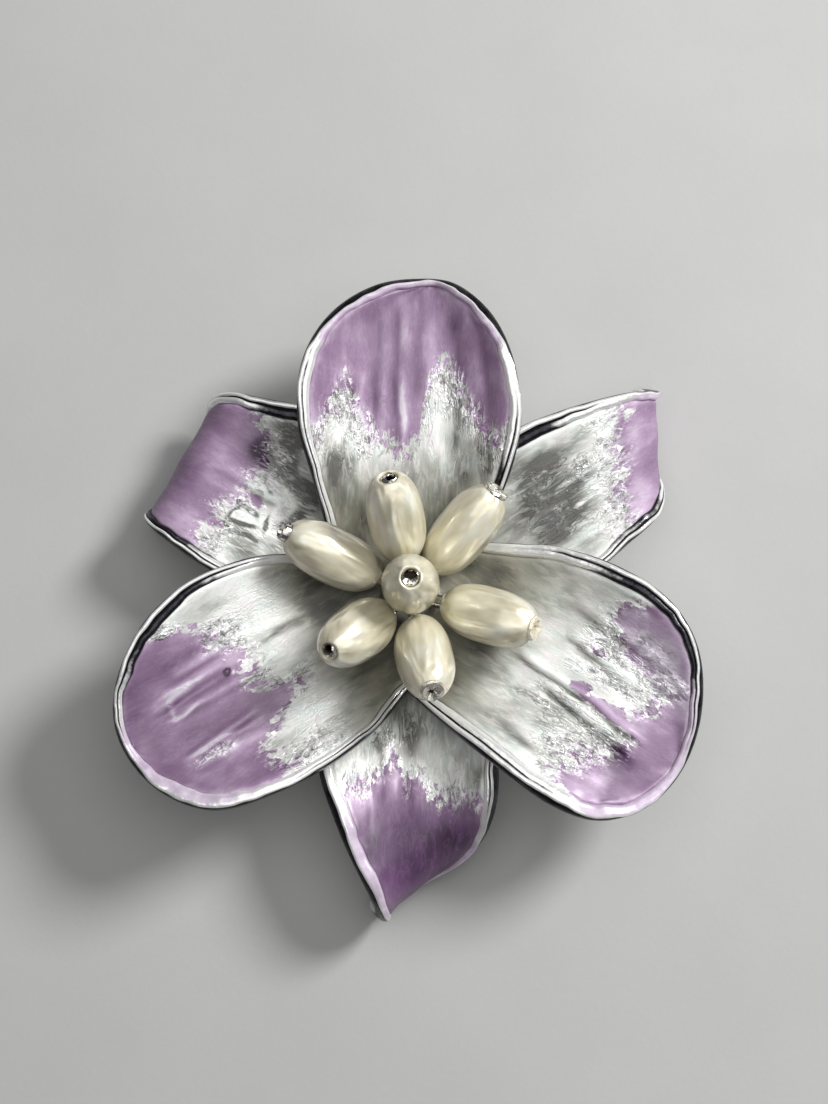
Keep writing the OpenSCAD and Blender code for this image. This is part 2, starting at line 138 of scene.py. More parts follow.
# Rim of each petal, notch to tip. Columns: width of the black outer slope, blackened and also standing in for
# dark reflections and shade, and of the whole rim in mm, share covered by pale enamel, how dark the groove
# inside it is, as painted shade, and how far it sinks.
RIMS = {
    "top": {
        "left": [(0.1, 0.9, 0, 0.3), (0.25, 1.0, 0, 0.5), (0.12, 1.0, 0, 0.4), (0.08, 1.15, 0.1, 0.3),
                 (0.5, 1.1, 1, 0), (0.6, 1.2, 1, 0)],
        "right": [(0.1, 0.9, 0, 0.8), (0.1, 1.0, 0, 1), (0.05, 1.1, 0, 0.4), (0.05, 1.1, 0, 0),
                  (0.6, 1.2, 1, 0), (0.65, 1.1, 1, 0)],
        "tip": (0.3, 0.8, 1, 0)},
    "lower_left": {
        "left": [(0.1, 0.9, 0, 0.6), (0.15, 0.9, 0, 0.6), (0.1, 0.9, 0, 0.3), (0.1, 1.0, 0.4, 0),
                 (0.12, 1.5, 0.55, 0), (0.15, 1.4, 0.6, 0)],
        "right": [(0.1, 0.9, 0, 0.2), (0.1, 0.9, 0, 0.15), (0.08, 1.0, 0, 0.75), (0.08, 1.35, 0, 1),
                  (0.1, 1.1, 0, 0.8), (0.25, 0.9, 0.3, 0.5)],
        "tip": (0.35, 1.0, 0.8, 0.2)},
    "lower_right": {
        "left": [(0.1, 0.9, 0, 0), (0.05, 1.3, 0, 0.3), (0.08, 1.3, 0, 0.8), (0.1, 1.2, 0, 1),
                 (0.15, 1.1, 0.1, 1), (0.45, 1.1, 0.8, 0.5)],
        "right": [(0.1, 0.9, 0, 0.6), (0.12, 1.5, 0, 0.5), (0.3, 1.6, 0, 0.5), (0.4, 1.6, 0.1, 0.2),
                  (0.12, 1.3, 1, 0), (0.03, 1.1, 1, 0)],
        "tip": (0.2, 1.0, 1, 0)},
    "upper_right": {
        "left": [(0.1, 0.9, 0, 0.3), (0.05, 1.3, 0, 0.6), (0.08, 1.6, 0, 1), (0.1, 1.4, 0, 0.7),
                 (0.08, 1.0, 0.3, 0), (0.05, 0.7, 1, 0)],
        "right": [(0.1, 0.9, 0, 0.2), (0.1, 0.9, 0, 0.3), (0.1, 0.9, 0, 0.4), (0.12, 1.0, 0, 0.8),
                  (0.1, 1.0, 0, 0.6), (0.05, 0.7, 1, 0)],
        "tip": (0.05, 0.6, 1, 0)},
    "upper_left": {
        "left": [(0.1, 0.9, 0, 0.2), (0.1, 0.9, 0, 0.3), (0.15, 0.9, 0, 0.4), (0.2, 1.0, 0, 0.8),
                 (0.12, 0.9, 0, 0.9), (0.05, 0.7, 0.4, 0.3)],
        "right": [(0.1, 0.9, 0, 0.5), (0.08, 1.2, 0, 1), (0.08, 1.7, 0, 1), (0.08, 1.4, 0, 0.8),
                  (0.05, 0.9, 0.1, 0.2), (0.05, 0.7, 0.8, 0)],
        "tip": (0.05, 0.7, 0.8, 0)},
    "bottom": {
        "left": [(0.1, 0.9, 0, 0.6), (0.2, 0.9, 0, 0.6), (0.45, 1.1, 0, 0.6), (0.7, 1.2, 0.1, 0.2),
                 (0.65, 0.95, 0.8, 0), (0.5, 0.8, 0.45, 0.1)],
        "right": [(0.1, 0.9, 0, 0.5), (0.3, 1.0, 0, 0.4), (0.5, 1.3, 0, 0.1), (0.5, 1.5, 0.45, 0),
                  (0.3, 1.3, 1, 0), (0.35, 0.9, 0.4, 0.2)],
        "tip": (0.7, 0.8, 0, 0.9)},
}
# Where the silver foil gives way to lilac. Columns: across the petal, distance from the heart.
LILAC_FROM = {
    "top": [
        (-9, 14.8), (-8.2, 14.5), (-7.4, 13.3), (-6.2, 14.5), (-5.2, 16.4), (-4.2, 18.2), (-3, 20.2),
        (-1.9, 20.7), (-1.3, 19.5), (-0.7, 17.2), (-0.3, 14.1), (0.6, 12.5), (1.4, 12.9), (2.4, 13.2),
        (3.8, 14.3), (5.0, 16.1), (5.7, 17.3), (6.5, 18.6), (7.4, 17.4), (8.0, 15.5), (8.6, 13.5),
        (9.5, 13.5)],
    "lower_left": [
        (-9, 22.0), (-8.1, 20.6), (-7.4, 18.2), (-6.5, 17.1), (-5.0, 17.6), (-4.2, 16.4), (-3.2, 15.2),
        (-0.2, 15.9), (0.6, 15.0), (1.2, 12.6), (2.4, 12.8), (2.8, 15.2), (4.2, 16.7), (4.9, 17.8),
        (7.4, 16.9), (9.5, 18.5)],
    "lower_right": [
        (-9.5, 21.0), (-8.5, 20.7), (-7.6, 18.1), (-6.3, 19.9), (-5.0, 20.8), (-3.6, 21.9), (-2.6, 22.8),
        (-1.5, 23.3), (-0.7, 21.6), (0.4, 21.8), (1.4, 23.5), (3.5, 22.8), (4.6, 21.3), (6.0, 19.0),
        (7.2, 16.7), (8.0, 16.6), (9.0, 17.5), (10, 19.0)],
    "upper_right": [
        (-6, 19.8), (-3.6, 20.2), (-1.9, 20.8), (-0.6, 21.7), (0.7, 22.4), (2.5, 22.9), (3.4, 24.2),
        (5.2, 25.2), (7, 26.2)],
    "upper_left": [
        (-10, 21.0), (-8.2, 20.3), (-6.9, 19.2), (-6.3, 17.6), (-4.0, 16.9), (-2.1, 17.7), (0, 17.8),
        (1.6, 19.1), (3.1, 18.8), (5.1, 18.6), (7, 19.5)],
    "bottom": [
        (-7, 18.2), (-4.9, 17.1), (-4.2, 17.3), (-3.3, 16.8), (-2.6, 15.4), (-1.6, 14.5), (-0.9, 15.2),
        (-0.5, 16.9), (0.2, 16.4), (1.2, 16.3), (1.5, 17.5), (2.6, 18.2), (4.6, 17.6), (6.3, 18.0)],
}
# Patches of the hand-laid foil. Columns: across, distance from the heart, half width, half
# length, all in mm, how much lighter (the foil's own tone, and painted light and shade), how crumpled, how
# far the lilac runs in, in mm.
FOIL = {
    "top": [
        (6.7, 16.4, 0.7, 2.2, 2.2, 0.8, 1.5), (4.8, 14.8, 1.1, 1.6, 1.2, 0.9, 1.3),
        (-1.2, 16.6, 0.55, 3.4, 2.6, 0.3, 0), (-3.1, 17.8, 1.0, 1.6, 0.5, 1.0, 1.0),
        (-5.2, 15.6, 1.0, 1.4, -0.3, 1.0, 1.4), (1.2, 16.4, 0.32, 2.4, 2.2, 0.2, 0),
        (1.6, 22.4, 0.4, 2.4, 0.6, 0, 0), (0.4, 21.5, 0.5, 4.0, -0.5, 0, 0),
        (7.2, 11.4, 1.2, 1.8, -1.2, 0.1, 0), (-6.6, 12.4, 1.0, 1.6, -1.0, 0.3, 0),
        (0, 10.8, 5.0, 1.6, -0.3, 0, 0), (4.6, 13.0, 0.8, 1.0, 0.5, 1.0, 0),
        (-3.6, 11.6, 1.5, 1.6, -0.2, 0.1, 0), (-6.2, 13.2, 0.7, 1.3, -0.8, 0, 0),
        (5.8, 11.4, 1.2, 1.3, -0.5, 0.1, 0), (2.9, 17.5, 0.35, 1.8, 0.6, 0.4, 0),
        (8.6, 15, 0.6, 3, 0.5, 0.5, 0), (0, 8, 8, 2.6, -0.5, 0, 0), (-8.2, 14, 0.6, 2, 0.7, 0.6, 0)],
    "lower_left": [
        (-5.6, 22.5, 1.8, 2.6, -1.1, 0, 0), (0, 26, 5.0, 1.3, -0.8, 0, 0),
        (1.0, 19.5, 0.8, 3.0, -0.6, 0, 0), (-7.9, 20.8, 0.6, 1.2, 1.0, 1.0, -1),
        (-5.6, 15.8, 1.0, 1.6, 0.6, 1.0, 0), (-6.0, 12.4, 2.4, 3.6, 1.5, 0.15, 0),
        (-1.8, 12.4, 0.8, 2.4, 0.9, 0.1, 0), (0.1, 15.0, 0.9, 0.9, 1.0, 1.0, 0),
        (0.9, 12.0, 0.6, 0.9, 0.8, 1.0, 0), (3.2, 22.0, 0.6, 2.4, 1.9, 1.0, -1),
        (2.3, 21.5, 0.18, 3.0, 2.8, 0.3, 0), (-1.2, 22.5, 0.17, 1.8, 2.8, 0.4, 0),
        (-3.3, 21.5, 0.22, 2.0, 2.4, 0.5, 0), (-1.9, 23.4, 0.9, 0.3, 1.4, 0.4, 0),
        (-4.6, 18.6, 0.25, 2.4, 0.9, 0.3, 0), (7.3, 13.8, 1.4, 2.4, 0.6, 0.7, 0),
        (4.2, 12.4, 1.6, 2.6, 1.1, 0.2, 0), (-2.3, 17.8, 0.2, 0.22, -14.0, 0.3, 0),
        (-2.0, 17.3, 0.16, 0.2, 3.0, 0, 0), (-3.2, 11.5, 0.3, 2.4, -0.8, 0, 0),
        (-3.2, 7.5, 2.4, 2.2, -1.4, 0, 0), (2, 7, 2.5, 2.0, -0.4, 0, 0),
        (-2.7, 22.6, 0.4, 1.8, 0.8, 0.2, 0)],
    "lower_right": [
        (3.2, 22.5, 4.0, 4.0, 1.3, 0, 0), (4.0, 22.9, 1.1, 1.8, 0.6, 0.8, -0.5),
        (6.8, 20.4, 1.1, 2.4, 1.1, 0.5, 4.0), (8.3, 18.2, 0.5, 1.2, 1.0, 0.3, 1.5),
        (5.4, 23.0, 0.9, 1.5, 0.9, 0.3, 1.5), (5.3, 16.2, 0.9, 1.1, 0.3, 1.0, 1.0),
        (4.8, 19.0, 0.9, 2.0, 0.6, 1.0, 2.0), (2.1, 18.6, 0.7, 2.6, 0.6, 1.0, 1.6),
        (-1.0, 17.0, 0.5, 2.7, 1.0, 0.6, 0), (-2.4, 20.7, 0.8, 1.7, 0.7, 0.8, 0),
        (-5.0, 18.2, 1.6, 2.4, 0.3, 0.8, 1.2), (-5.0, 14.0, 3.0, 5.0, -0.3, 0, 0),
        (-3.0, 23.5, 3.4, 2.6, -1.5, 0, 0), (-2.4, 15.2, 0.4, 2.2, -1.2, 0.6, 0),
        (3.8, 11.8, 2.2, 2.4, 0.4, 0.05, 0), (-4.0, 11.4, 2.4, 3.0, 0.1, 0.05, 0),
        (5.7, 5.8, 1.6, 2.0, -0.7, 0, 0), (0.55, 17.0, 0.45, 1.2, -0.3, 0, 8),
        (0, 19.6, 0.5, 2.2, -0.3, 0, 6), (-3.2, 17.4, 0.25, 2.0, -1.0, 0.4, 0),
        (3.9, 16.6, 0.4, 1.6, -0.5, 0.6, 8), (-1, 8, 2.5, 1.6, -0.6, 0, 0),
        (4.2, 24.6, 0.9, 1.4, 0.7, 0.6, 0)],
    "upper_right": [
        (0.5, 25.5, 5.0, 2.6, -0.15, 0, 0), (4.8, 22.2, 0.8, 1.6, 1.0, 0.4, 0),
        (3.0, 22.2, 0.5, 0.8, 0.9, 0.6, 0), (0.6, 20.3, 1.1, 1.7, 1.2, 0.3, 0),
        (-2.0, 20.5, 1.0, 1.2, 1.2, 0.3, 0), (-3.6, 18.9, 1.4, 2.0, 1.0, 0.2, 0),
        (4.2, 17.6, 0.7, 3.0, -1.2, 0, 0), (2.0, 15.0, 2.6, 3.0, -1.9, 0.2, 0),
        (-1.0, 15.0, 2.2, 2.6, -1.8, 0.2, 0), (3.4, 16.4, 0.3, 1.8, -1.0, 0.2, 0),
        (0.3, 15.6, 0.25, 1.6, 0.9, 0.2, 0), (-2.2, 16.4, 0.3, 1.6, 0.9, 0.3, 0),
        (2.4, 15.4, 0.25, 1.4, 0.9, 0.2, 0), (-0.6, 18.0, 0.3, 1.6, 1.6, 0.3, 0),
        (1.2, 17.4, 0.3, 1.4, 1.4, 0.3, 0), (2.2, 19.0, 0.8, 1.2, -0.2, 0.9, 0)],
    "upper_left": [
        (-5.3, 18.4, 1.3, 1.0, -2.6, 0.1, 0), (-4.3, 13.0, 1.3, 1.2, -2.0, 0.1, 0),
        (-4.2, 17.0, 0.4, 1.2, -1.6, 0.1, 0), (-5.6, 15.6, 1.9, 1.2, -2.6, 0.3, 0),
        (-1.0, 12.3, 2.6, 0.8, -1.8, 0.3, 0), (-7.8, 17.0, 0.9, 1.5, -1.3, 0.2, 0),
        (-2.8, 17.2, 0.5, 0.5, 5.0, 0.3, 0), (-3.2, 16.1, 0.4, 0.6, 5.0, 0.2, 0),
        (-2.6, 14.9, 0.5, 0.6, 5.0, 0.2, 0), (-1.3, 14.0, 0.9, 0.4, 4.5, 0.3, 0),
        (0.4, 13.6, 0.8, 0.5, 2.2, 0.4, 0), (1.9, 15.0, 0.6, 0.8, 0.9, 0.5, 0),
        (2.5, 17.0, 0.6, 0.8, 0.8, 0.7, 0), (1.6, 18.7, 0.6, 0.5, 1.4, 0.7, 0),
        (0.0, 17.8, 0.6, 0.3, 2.2, 0.5, 0), (1.0, 16.4, 0.35, 0.7, 1.6, 0.2, 0),
        (0.2, 15.1, 0.5, 0.3, 2.0, 0.2, 0), (0.4, 16.4, 0.2, 0.8, -4.5, 0.1, 0),
        (1.6, 16.3, 0.2, 0.9, -4.5, 0.1, 0), (0.8, 14.6, 0.8, 0.16, -4.0, 0.1, 0),
        (0.7, 17.5, 0.8, 0.15, -4.0, 0.1, 0), (2.6, 15.6, 0.18, 1.0, -3.5, 0.1, 0),
        (-2.1, 15.4, 0.2, 0.5, -3.0, 0.1, 0), (3.6, 15.4, 1.2, 1.6, -0.7, 0.1, 0),
        (-0.7, 16.3, 0.6, 0.8, -0.7, 0.1, 5.0), (4.7, 17.6, 1.2, 1.0, 1.4, 0.6, 0),
        (0.1, 12.6, 0.9, 0.6, -0.6, 1.0, 0), (-8.7, 18.8, 0.7, 1.4, 0.8, 0.2, 0),
        (-3.4, 13.6, 1.2, 1.8, -0.4, 0.1, 0)],
    "bottom": [
        (-5.2, 16.0, 0.4, 1.4, 1.1, 0.3, 0), (-3.9, 16.0, 0.45, 1.4, 1.1, 0.3, 0),
        (-2.4, 16.7, 0.22, 0.7, 1.2, 0.2, 0), (-1.3, 16.9, 0.22, 0.8, 1.2, 0.2, 0),
        (2.4, 15.0, 2.2, 1.7, 0.5, 0.1, 0), (0.2, 11.6, 2.0, 1.5, -0.9, 0.2, 0),
        (6.0, 16.4, 0.6, 1.6, -1.2, 0, 0), (-2.3, 12.8, 1.4, 0.8, -0.6, 0.4, 0),
        (0, 23.2, 6.0, 5.4, -2.3, 0, 0), (3.6, 21, 2.6, 2.6, -0.6, 0, 0),
        (3.4, 18.0, 0.8, 0.3, 1.0, 0.8, 0)],
}
# Folds pressed into the foil under the enamel. Columns: across at the inner end, across at
# the outer end, inner end, outer end, height, half width, all in mm.
FOLDS = {
    "top": [
        (1.2, 1.4, 12, 27, 0.13, 0.5), (0.2, 0.2, 17, 28, -0.09, 0.45), (-1.7, -1.9, 11, 21, 0.14, 0.7),
        (5.7, 5.0, 11, 20, 0.18, 0.6), (4.0, 4.2, 14, 24, -0.1, 0.5), (-4.6, -4.0, 12, 26, 0.12, 0.8),
        (-6.6, -5.4, 13, 24, -0.1, 0.5), (3.0, 3.2, 13, 26, 0.08, 0.5)],
    "lower_left": [
        (-3.4, -2.8, 17, 25.5, 0.22, 0.45), (-4.8, -4.2, 13, 23, 0.18, 0.5),
        (1.6, 2.3, 16, 25.5, 0.24, 0.4), (3.4, 3.2, 17, 24.5, 0.16, 0.6), (-1.6, -1.4, 14, 24, 0.14, 0.5),
        (-2.4, -2.0, 16, 26, -0.16, 0.4), (0.2, 0.6, 15, 26, -0.12, 0.6), (5.2, 4.6, 14, 25, -0.12, 0.7),
        (-6.8, -6.0, 11, 22, 0.1, 0.7), (-2.8, -3.8, 9, 16, -0.16, 0.35)],
    "lower_right": [
        (0.9, -1.2, 10, 25, 0.24, 0.4), (-1.4, -3.6, 13, 25, -0.22, 0.5), (-0.4, -2.4, 13, 25, 0.14, 0.5),
        (3.2, 0.8, 14, 25.5, -0.14, 0.5), (4.4, 2.4, 13, 25, 0.16, 0.5), (5.6, 4.4, 14, 24, -0.12, 0.5),
        (-5.2, -5.4, 12, 24, 0.12, 0.9), (6.8, 5.6, 12, 24, 0.12, 0.5)],
    "upper_right": [
        (1.5, 2.2, 12, 26, 0.12, 0.7), (-1.2, -0.8, 13, 24, -0.1, 0.6), (-3.4, -3.0, 14, 22, 0.1, 0.7)],
    "upper_left": [
        (-2.2, -2.0, 12, 22, 0.12, 0.6), (1.4, 1.6, 12, 20, 0.12, 0.6), (-4.6, -4.4, 14, 24, -0.1, 0.7),
        (3.4, 3.2, 13, 19, -0.08, 0.5)],
    "bottom": [
        (-2.2, -1.6, 12, 20, 0.12, 0.6), (1.2, 0.6, 12, 20, 0.1, 0.7), (3.6, 2.6, 13, 21, -0.1, 0.6),
        (-4.0, -3.2, 13, 22, -0.08, 0.5)],
}
# Beads on the slanting posts. Columns: direction, slope of the post, distance from the post's
# foot to the middle of the bead, how far the post's end stands out of the bead, share of its
# mouth that is pressed shut, side that stays open, share of the end coated in pearl cream.
BEADS = {
    "pearl_top": (102, 48, 7.3, -0.15, 0.0, -50, 0),
    "pearl_upper_right": (48.5, 24, 6.4, 0.35, 0.9, 40, 0.2),
    "pearl_right": (341, 28, 6.9, 0.2, 0.8, 100, 0.9),
    "pearl_bottom": (281, 45, 7.2, 0.25, 0.8, -60, 0.3),
    "pearl_lower_left": (221.5, 47, 7.2, -0.15, 0.05, -80, 0.1),
    "pearl_upper_left": (156, 20, 6.7, 0.6, 0.2, 60, 0),
    "pearl_centre": (0, 90, 6.5, -0.1, 0.05, 80, 0),
}

# Rim section from the underside round to the enamel. Columns: distance in (mm, share of the
# outer slope, share of the rest of the rim), height (share of the wall, share of the rim's
# height), dark share of its own (blackening that also stands in for dark reflections and shade),
# of a thin groove and of a wide one (painted shade), share of the enamel lap, how far a groove sinks it.
RIM_SECTION = [
    (0.28, 0, 0, -1.0, 0, 0, 0, 0, 0, 0),
    (0.09, 0, 0, -0.93, 0, 0.02, 0, 0, 0, 0),
    (0, 0, 0, -0.7, 0, 0.2, 0, 0, 0, 0),
    (0, 0, 0, -0.3, 0, 0.95, 0, 0, 0, 0),
    (0, 0, 0, 0, 0.2, 1, 0, 0, 0, 0),
    (0, 0.12, 0, 0, 0.45, 1, 0, 0, 0, 0),
    (0, 0.45, 0, 0, 0.72, 1, 0, 0, 0, 0),
    (0, 0.9, 0, 0, 0.88, 0.95, 0, 0, 0, 0),
    (0, 1, 0.04, 0, 0.95, 0.2, 0, 0, 0, 0),
    (0, 1, 0.10, 0, 1.0, 0, 0, 0, 0.3, 0),
    (0, 1, 0.20, 0, 1.03, 0, 0, 0, 0.65, 0),
    (0, 1, 0.30, 0, 1.03, 0, 0, 0, 0.9, 0.05),
    (0, 1, 0.37, 0, 1.02, 0, 0.8, 0.8, 1, 0.22),
    (0, 1, 0.45, 0, 1.00, 0, 1, 1, 1, 0.28),
    (0, 1, 0.53, 0, 0.98, 0, 0, 1, 1, 0.15),
    (0, 1, 0.66, 0, 0.95, 0, 0, 1, 1, 0.1),
    (0, 1, 0.80, 0, 0.90, 0, 0, 1, 1, 0.1),
    (0, 1, 0.94, 0, 0.72, 0, 0.2, 1, 1, 0.05),
    (0, 1, 1, 0, 0.35, 0.3, 0.5, 1, 0.5, 0),
    (0, 1, 1, 0, 0, 0.3, 0.5, 1, 0, 0)]
# A post's pressed end. Columns: share of the way from its outer wall in to its mouth, height
# from its tip in mm, how crumpled, how dark, as painted shade in its hollow.
POST_END = [
    (0, -1.1, 0, 0.7), (0, -0.5, 0.1, 0.3), (-0.02, -0.16, 0.5, 0), (0.1, 0, 0.8, 0), (0.4, 0.04, 1, 0),
    (0.75, -0.03, 1, 0), (1, -0.2, 0.8, 0.3), (1.02, -0.5, 0.5, 1), (1.05, -0.95, 0.2, 1)]
# The bead holder's boss. Columns: radius, height over its base.
BOSS = [(0, 0), (2.8, 0), (2.8, 0.3), (2.6, 0.8), (2.2, 1.4), (1.9, 1.75), (1.5, 1.9), (0, 1.9)]
# The side of its folds that lies in shade on each petal: left (1) or right (-1).
SHADED_SIDE = {"top": 1, "lower_left": 1, "lower_right": -1, "upper_right": -1, "upper_left": 1, "bottom": -1}

# How far a petal's outer part turns down, and the height over the hub that keeps its length.
TURN_LIMIT = math.radians(100)
TURN_LEVEL = 2.3
# Share of an edge over which its direction turns into the notch's.
NOTCH_ROUND = 0.06
METAL_WALL = 1.0
# Least and most of a rim's outer slope, width, lap and groove.
RIM_LEAST = (0.03, 0.5, 0, 0)
RIM_MOST = (0.7, 2.0, 1, 1)
# Unevenness of a rim: size, and the number that picks its pattern.
OUTER_WOBBLE = (0.08, 11)
INNER_WOBBLE = (0.08, 29)
HEIGHT_WOBBLE = (0.05, 47)
# From the enamel to the rim, and from the tray floor to the enamel's underside.
ENAMEL_GAP = 0.02
ENAMEL_UNDER = 0.06
# Half width of the light or dark seam along the rim.
SEAM_HALF = 0.45
# A fold fades over this length at its ends. Its crease lies aside by a share of its half width.
FOLD_FADE = 2.5
CREASE_ASIDE = 1.2
CREASE_HALF = 0.5
# Painted highlight on a fold's ridge, and painted shade in its crease on the shaded side
RIDGE_PAINTED_HIGHLIGHT = 3
CREASE_PAINTED_SHADE = 8
# Height of the fine lines that comb the foil, and of the dents in its crumpled patches.
COMB_HEIGHT = 0.02
HAMMER_HEIGHT = 0.08
# Share of a petal's half width that follows the rim's unevenness.
OUTER_STRIPS = 0.12
# Dip of the enamel at its border, how far it reaches in, and where folds and creases are full.
BORDER_DIP = 0.14
BORDER_ROUND = 0.13
FOLDS_FULL = 1.4
CREASES_FULL = 0.7
# Lines of points from a petal's inner end to the hub, and how much of that way enamel covers.
METAL_FAN = 7
ENAMEL_FAN = 9
FAN_REACH = 0.62
# How light the foil is at the end of that way, under the beads, where it is darkened as painted shade.
FAN_PAINTED_SHADE = -0.4
# How much closer the points of an edge are to each other at the tip: 1 is even.
METAL_CROWDING = 1.15
ENAMEL_CROWDING = 1.1
# How dark the underside of the petals is, and the floor of their trays.
UNDERSIDE_DARK = 0.1
FLOOR_DARK = 0.3
# Depth in the lilac, in mm, at which the foil is bare silver.
ALL_SILVER = -15.0
# Marks that are vectors. The others are numbers.
VECTOR_MARKS = ("petal_place", "bead_place")
# Points nearer to each other than this are welded.
WELD = 0.0004
# Height and spread of the posts' feet, how barrelled a bead is, the rounding of its hole, the
# gap under the boss, and how much wider than its post a pressed end is.
SPRAY_HEIGHT = 8.3
POST_SPREAD = 1.2
BEAD_FULLNESS = 2.6
MOUTH_ROUND = 0.25
BOSS_GAP = 0.05
POST_FLARE = 0.12
# Points round each turned piece, and its unevenness.
BEAD_STEPS = 45
BEAD_AROUND, BEAD_UNEVEN = 64, 0.05
BOSS_AROUND, BOSS_UNEVEN = 64, 0.12
POST_AROUND, POST_UNEVEN = 28, 0.06
POST_END_AROUND = 20
# Colours of the painted shade in the posts' hollow ends and of the cream that coats them.
HOLE_SHADE_BROWN = (0.02, 0.014, 0.01)
PEARL_COAT = (0.86, 0.8, 0.62)

# The photograph's frame, its scale at the petals, where the upright bead is seen in it, and
# the petals' height in metres.
FRAME_PIXELS = (828, 1104)
PIXELS_PER_MM = 11.2
HEART_PIXEL = (410.5, 584)
PETAL_LEVEL = 0.0072
# Soft lights. Columns: name, place from the heart in metres, width in metres, share of the power.
LIGHTS = [
    ("main_light", (0.27, 0.18, 0.27), 0.13, 1.05),
    ("high_light", (0.02, 0.04, 0.50), 0.60, 0.72),
]
# Colour and strength of the light from all round.
SKY = (0.9, 0.93, 0.97, 1)
SKY_STRENGTH = 0.07
# In metres: half the floor, the gap over it, and how far the pin's edges are softened.
FLOOR_HALF = 1.5
FLOOR_GAP = 0.0001
PIN_SOFTNESS = 0.0002
SENSOR_HEIGHT = 24


def curve(keys, at):
    """Catmull-Rom curve through the rows of keys."""
    last = len(keys) - 1
    at = np.clip(at, 0, last)
    row = np.minimum(np.floor(at).astype(int), last - 1)
    part = (at - row)[..., None]
    before, start = keys[np.maximum(row - 1, 0)], keys[row]
    end, after = keys[row + 1], keys[np.minimum(row + 2, last)]
    return 0.5 * (2 * start + (end - before) * part
                  + (2 * before - 5 * start + 4 * end - after) * part ** 2
                  + (3 * start - before - 3 * end + after) * part ** 3)


def notch_key(axis, notch):
    """The bottom of a notch, seen along a petal's axis."""
    turn = math.radians(notch[0] - axis)
    return (notch[1] * math.cos(turn), notch[1] * math.sin(turn), 0.0, 0.0)


def outline_keys(name):
    """Left notch, left edge, tip, right edge, right notch. Columns: along, across, rise, lift."""
    petal = PETALS[name]
    layer = LAYERS[petal["layer"]]
    place = layer["petals"].index(name)
    left = [(a, wl, z, ll) for a, wl, wr, z, ll, lr in petal["sections"]]
    right = [(a, -wr, z, lr) for a, wl, wr, z, ll, lr in petal["sections"]]
    return np.array([notch_key(petal["axis"], layer["notches"][place])] + left
                    + [(*petal["tip"], 0.0)] + right[::-1]
                    + [notch_key(petal["axis"], layer["notches"][place - 1])])


KEYS = {name: outline_keys(name) for name in PETALS}


def past_crest(name, along, across):
    """How far a point is past the line where the petal turns down, and that line's direction."""
    start, skew, radius = PETALS[name]["turn"]
    c, s = math.cos(math.radians(skew)), math.sin(math.radians(skew))
    return along * c + across * s - start, c, s, radius


def placed(name, along, across, height):
    """Turns the petal's outer part down over its crest and puts the petal in its direction."""
    petal = PETALS[name]
    past, c, s, radius = past_crest(name, along, across)
    bend = np.clip(past / radius, 0, TURN_LIMIT)
    rest = np.maximum(past - radius * TURN_LIMIT, 0)
    reach = radius + height - TURN_LEVEL
    over = past > 0
    run = np.where(over, reach * np.sin(bend) + rest * np.cos(bend) - past, 0)
    drop = np.where(over, reach * (1 - np.cos(bend)) + rest * np.sin(bend), 0)
    a, b = along + run * c, across + run * s
    turn = math.radians(petal["axis"])
    hub = LAYERS[petal["layer"]]["hub"]
    return np.stack([a * math.cos(turn) - b * math.sin(turn),
                     a * math.sin(turn) + b * math.cos(turn), hub + height - drop], -1)


def flute(name, s, t):
    """Height of the long waves pressed into a petal's tray."""
    layer = LAYERS[PETALS[name]["layer"]]
    return (layer["depth"] * np.cos(np.pi * layer["waves"] * s) * (1 - s * s)
            * np.sin(np.pi * np.clip(t, 0, 1) ** 0.8))


def smooth(x):
    """Eases from 0 to 1, and stays there outside."""
    x = np.clip(x, 0, 1)
    return x * x * (3 - 2 * x)


def lattice(i, j, seed):
    """A fixed number from -1 to 1 for each corner of a square lattice, scattered by large primes."""
    mixed = (i * 374761393 + j * 668265263 + seed * 1442695041) & 0xFFFFFFFF
    mixed = ((mixed ^ (mixed >> 13)) * 1274126177) & 0xFFFFFFFF
    return ((mixed ^ (mixed >> 16)) & 0xFFFFFF) / 0x7FFFFF - 1


def grain(x, y, seed):
    """Smooth unevenness from -1 to 1 with bumps one unit apart."""
    x, y = np.broadcast_arrays(np.asarray(x, float), np.asarray(y, float))
    i, j = np.floor(x).astype(np.int64), np.floor(y).astype(np.int64)
    u, v = smooth(x - i), smooth(y - j)
    low = lattice(i, j, seed) * (1 - u) + lattice(i + 1, j, seed) * u
    high = lattice(i, j + 1, seed) * (1 - u) + lattice(i + 1, j + 1, seed) * u
    return low * (1 - v) + high * v


def inward(name, at):
    """Unit direction in from a petal's outline at a place along its keys."""
    keys = KEYS[name]
    last = len(keys) - 1
    way = curve(keys, np.minimum(at + 0.02, last)) - curve(keys, np.maximum(at - 0.02, 0))
    normal = np.stack([way[..., 1], -way[..., 0]], -1)
    return normal / np.linalg.norm(normal, axis=-1, keepdims=True)


def notch_split(name, side):
    """Direction that halves the notch beside a petal, seen along the petal's own axis."""
    petals = LAYERS[PETALS[name]["layer"]]["petals"]
    other = petals[(petals.index(name) + side) % 3]
    ends = (0.0, float(len(KEYS[name]) - 1))
    own = inward(name, np.array(ends[0] if side > 0 else ends[1]))
    facing = inward(other, np.array(ends[1] if side > 0 else ends[0]))
    turn = math.radians(PETALS[other]["axis"] - PETALS[name]["axis"])
    c, s = math.cos(turn), math.sin(turn)
    both = own + np.array([facing[0] * c - facing[1] * s, facing[0] * s + facing[1] * c])
    return both / np.linalg.norm(both)


SPLITS = {(name, side): notch_split(name, side) for name in PETALS for side in (1, -1)}


def key_place(name, side, part):
    """Place along a petal's keys at part of its left (1) or right (-1) edge, notch to tip."""
    last = len(KEYS[name]) - 1
    return part * last / 2 if side > 0 else last - part * last / 2


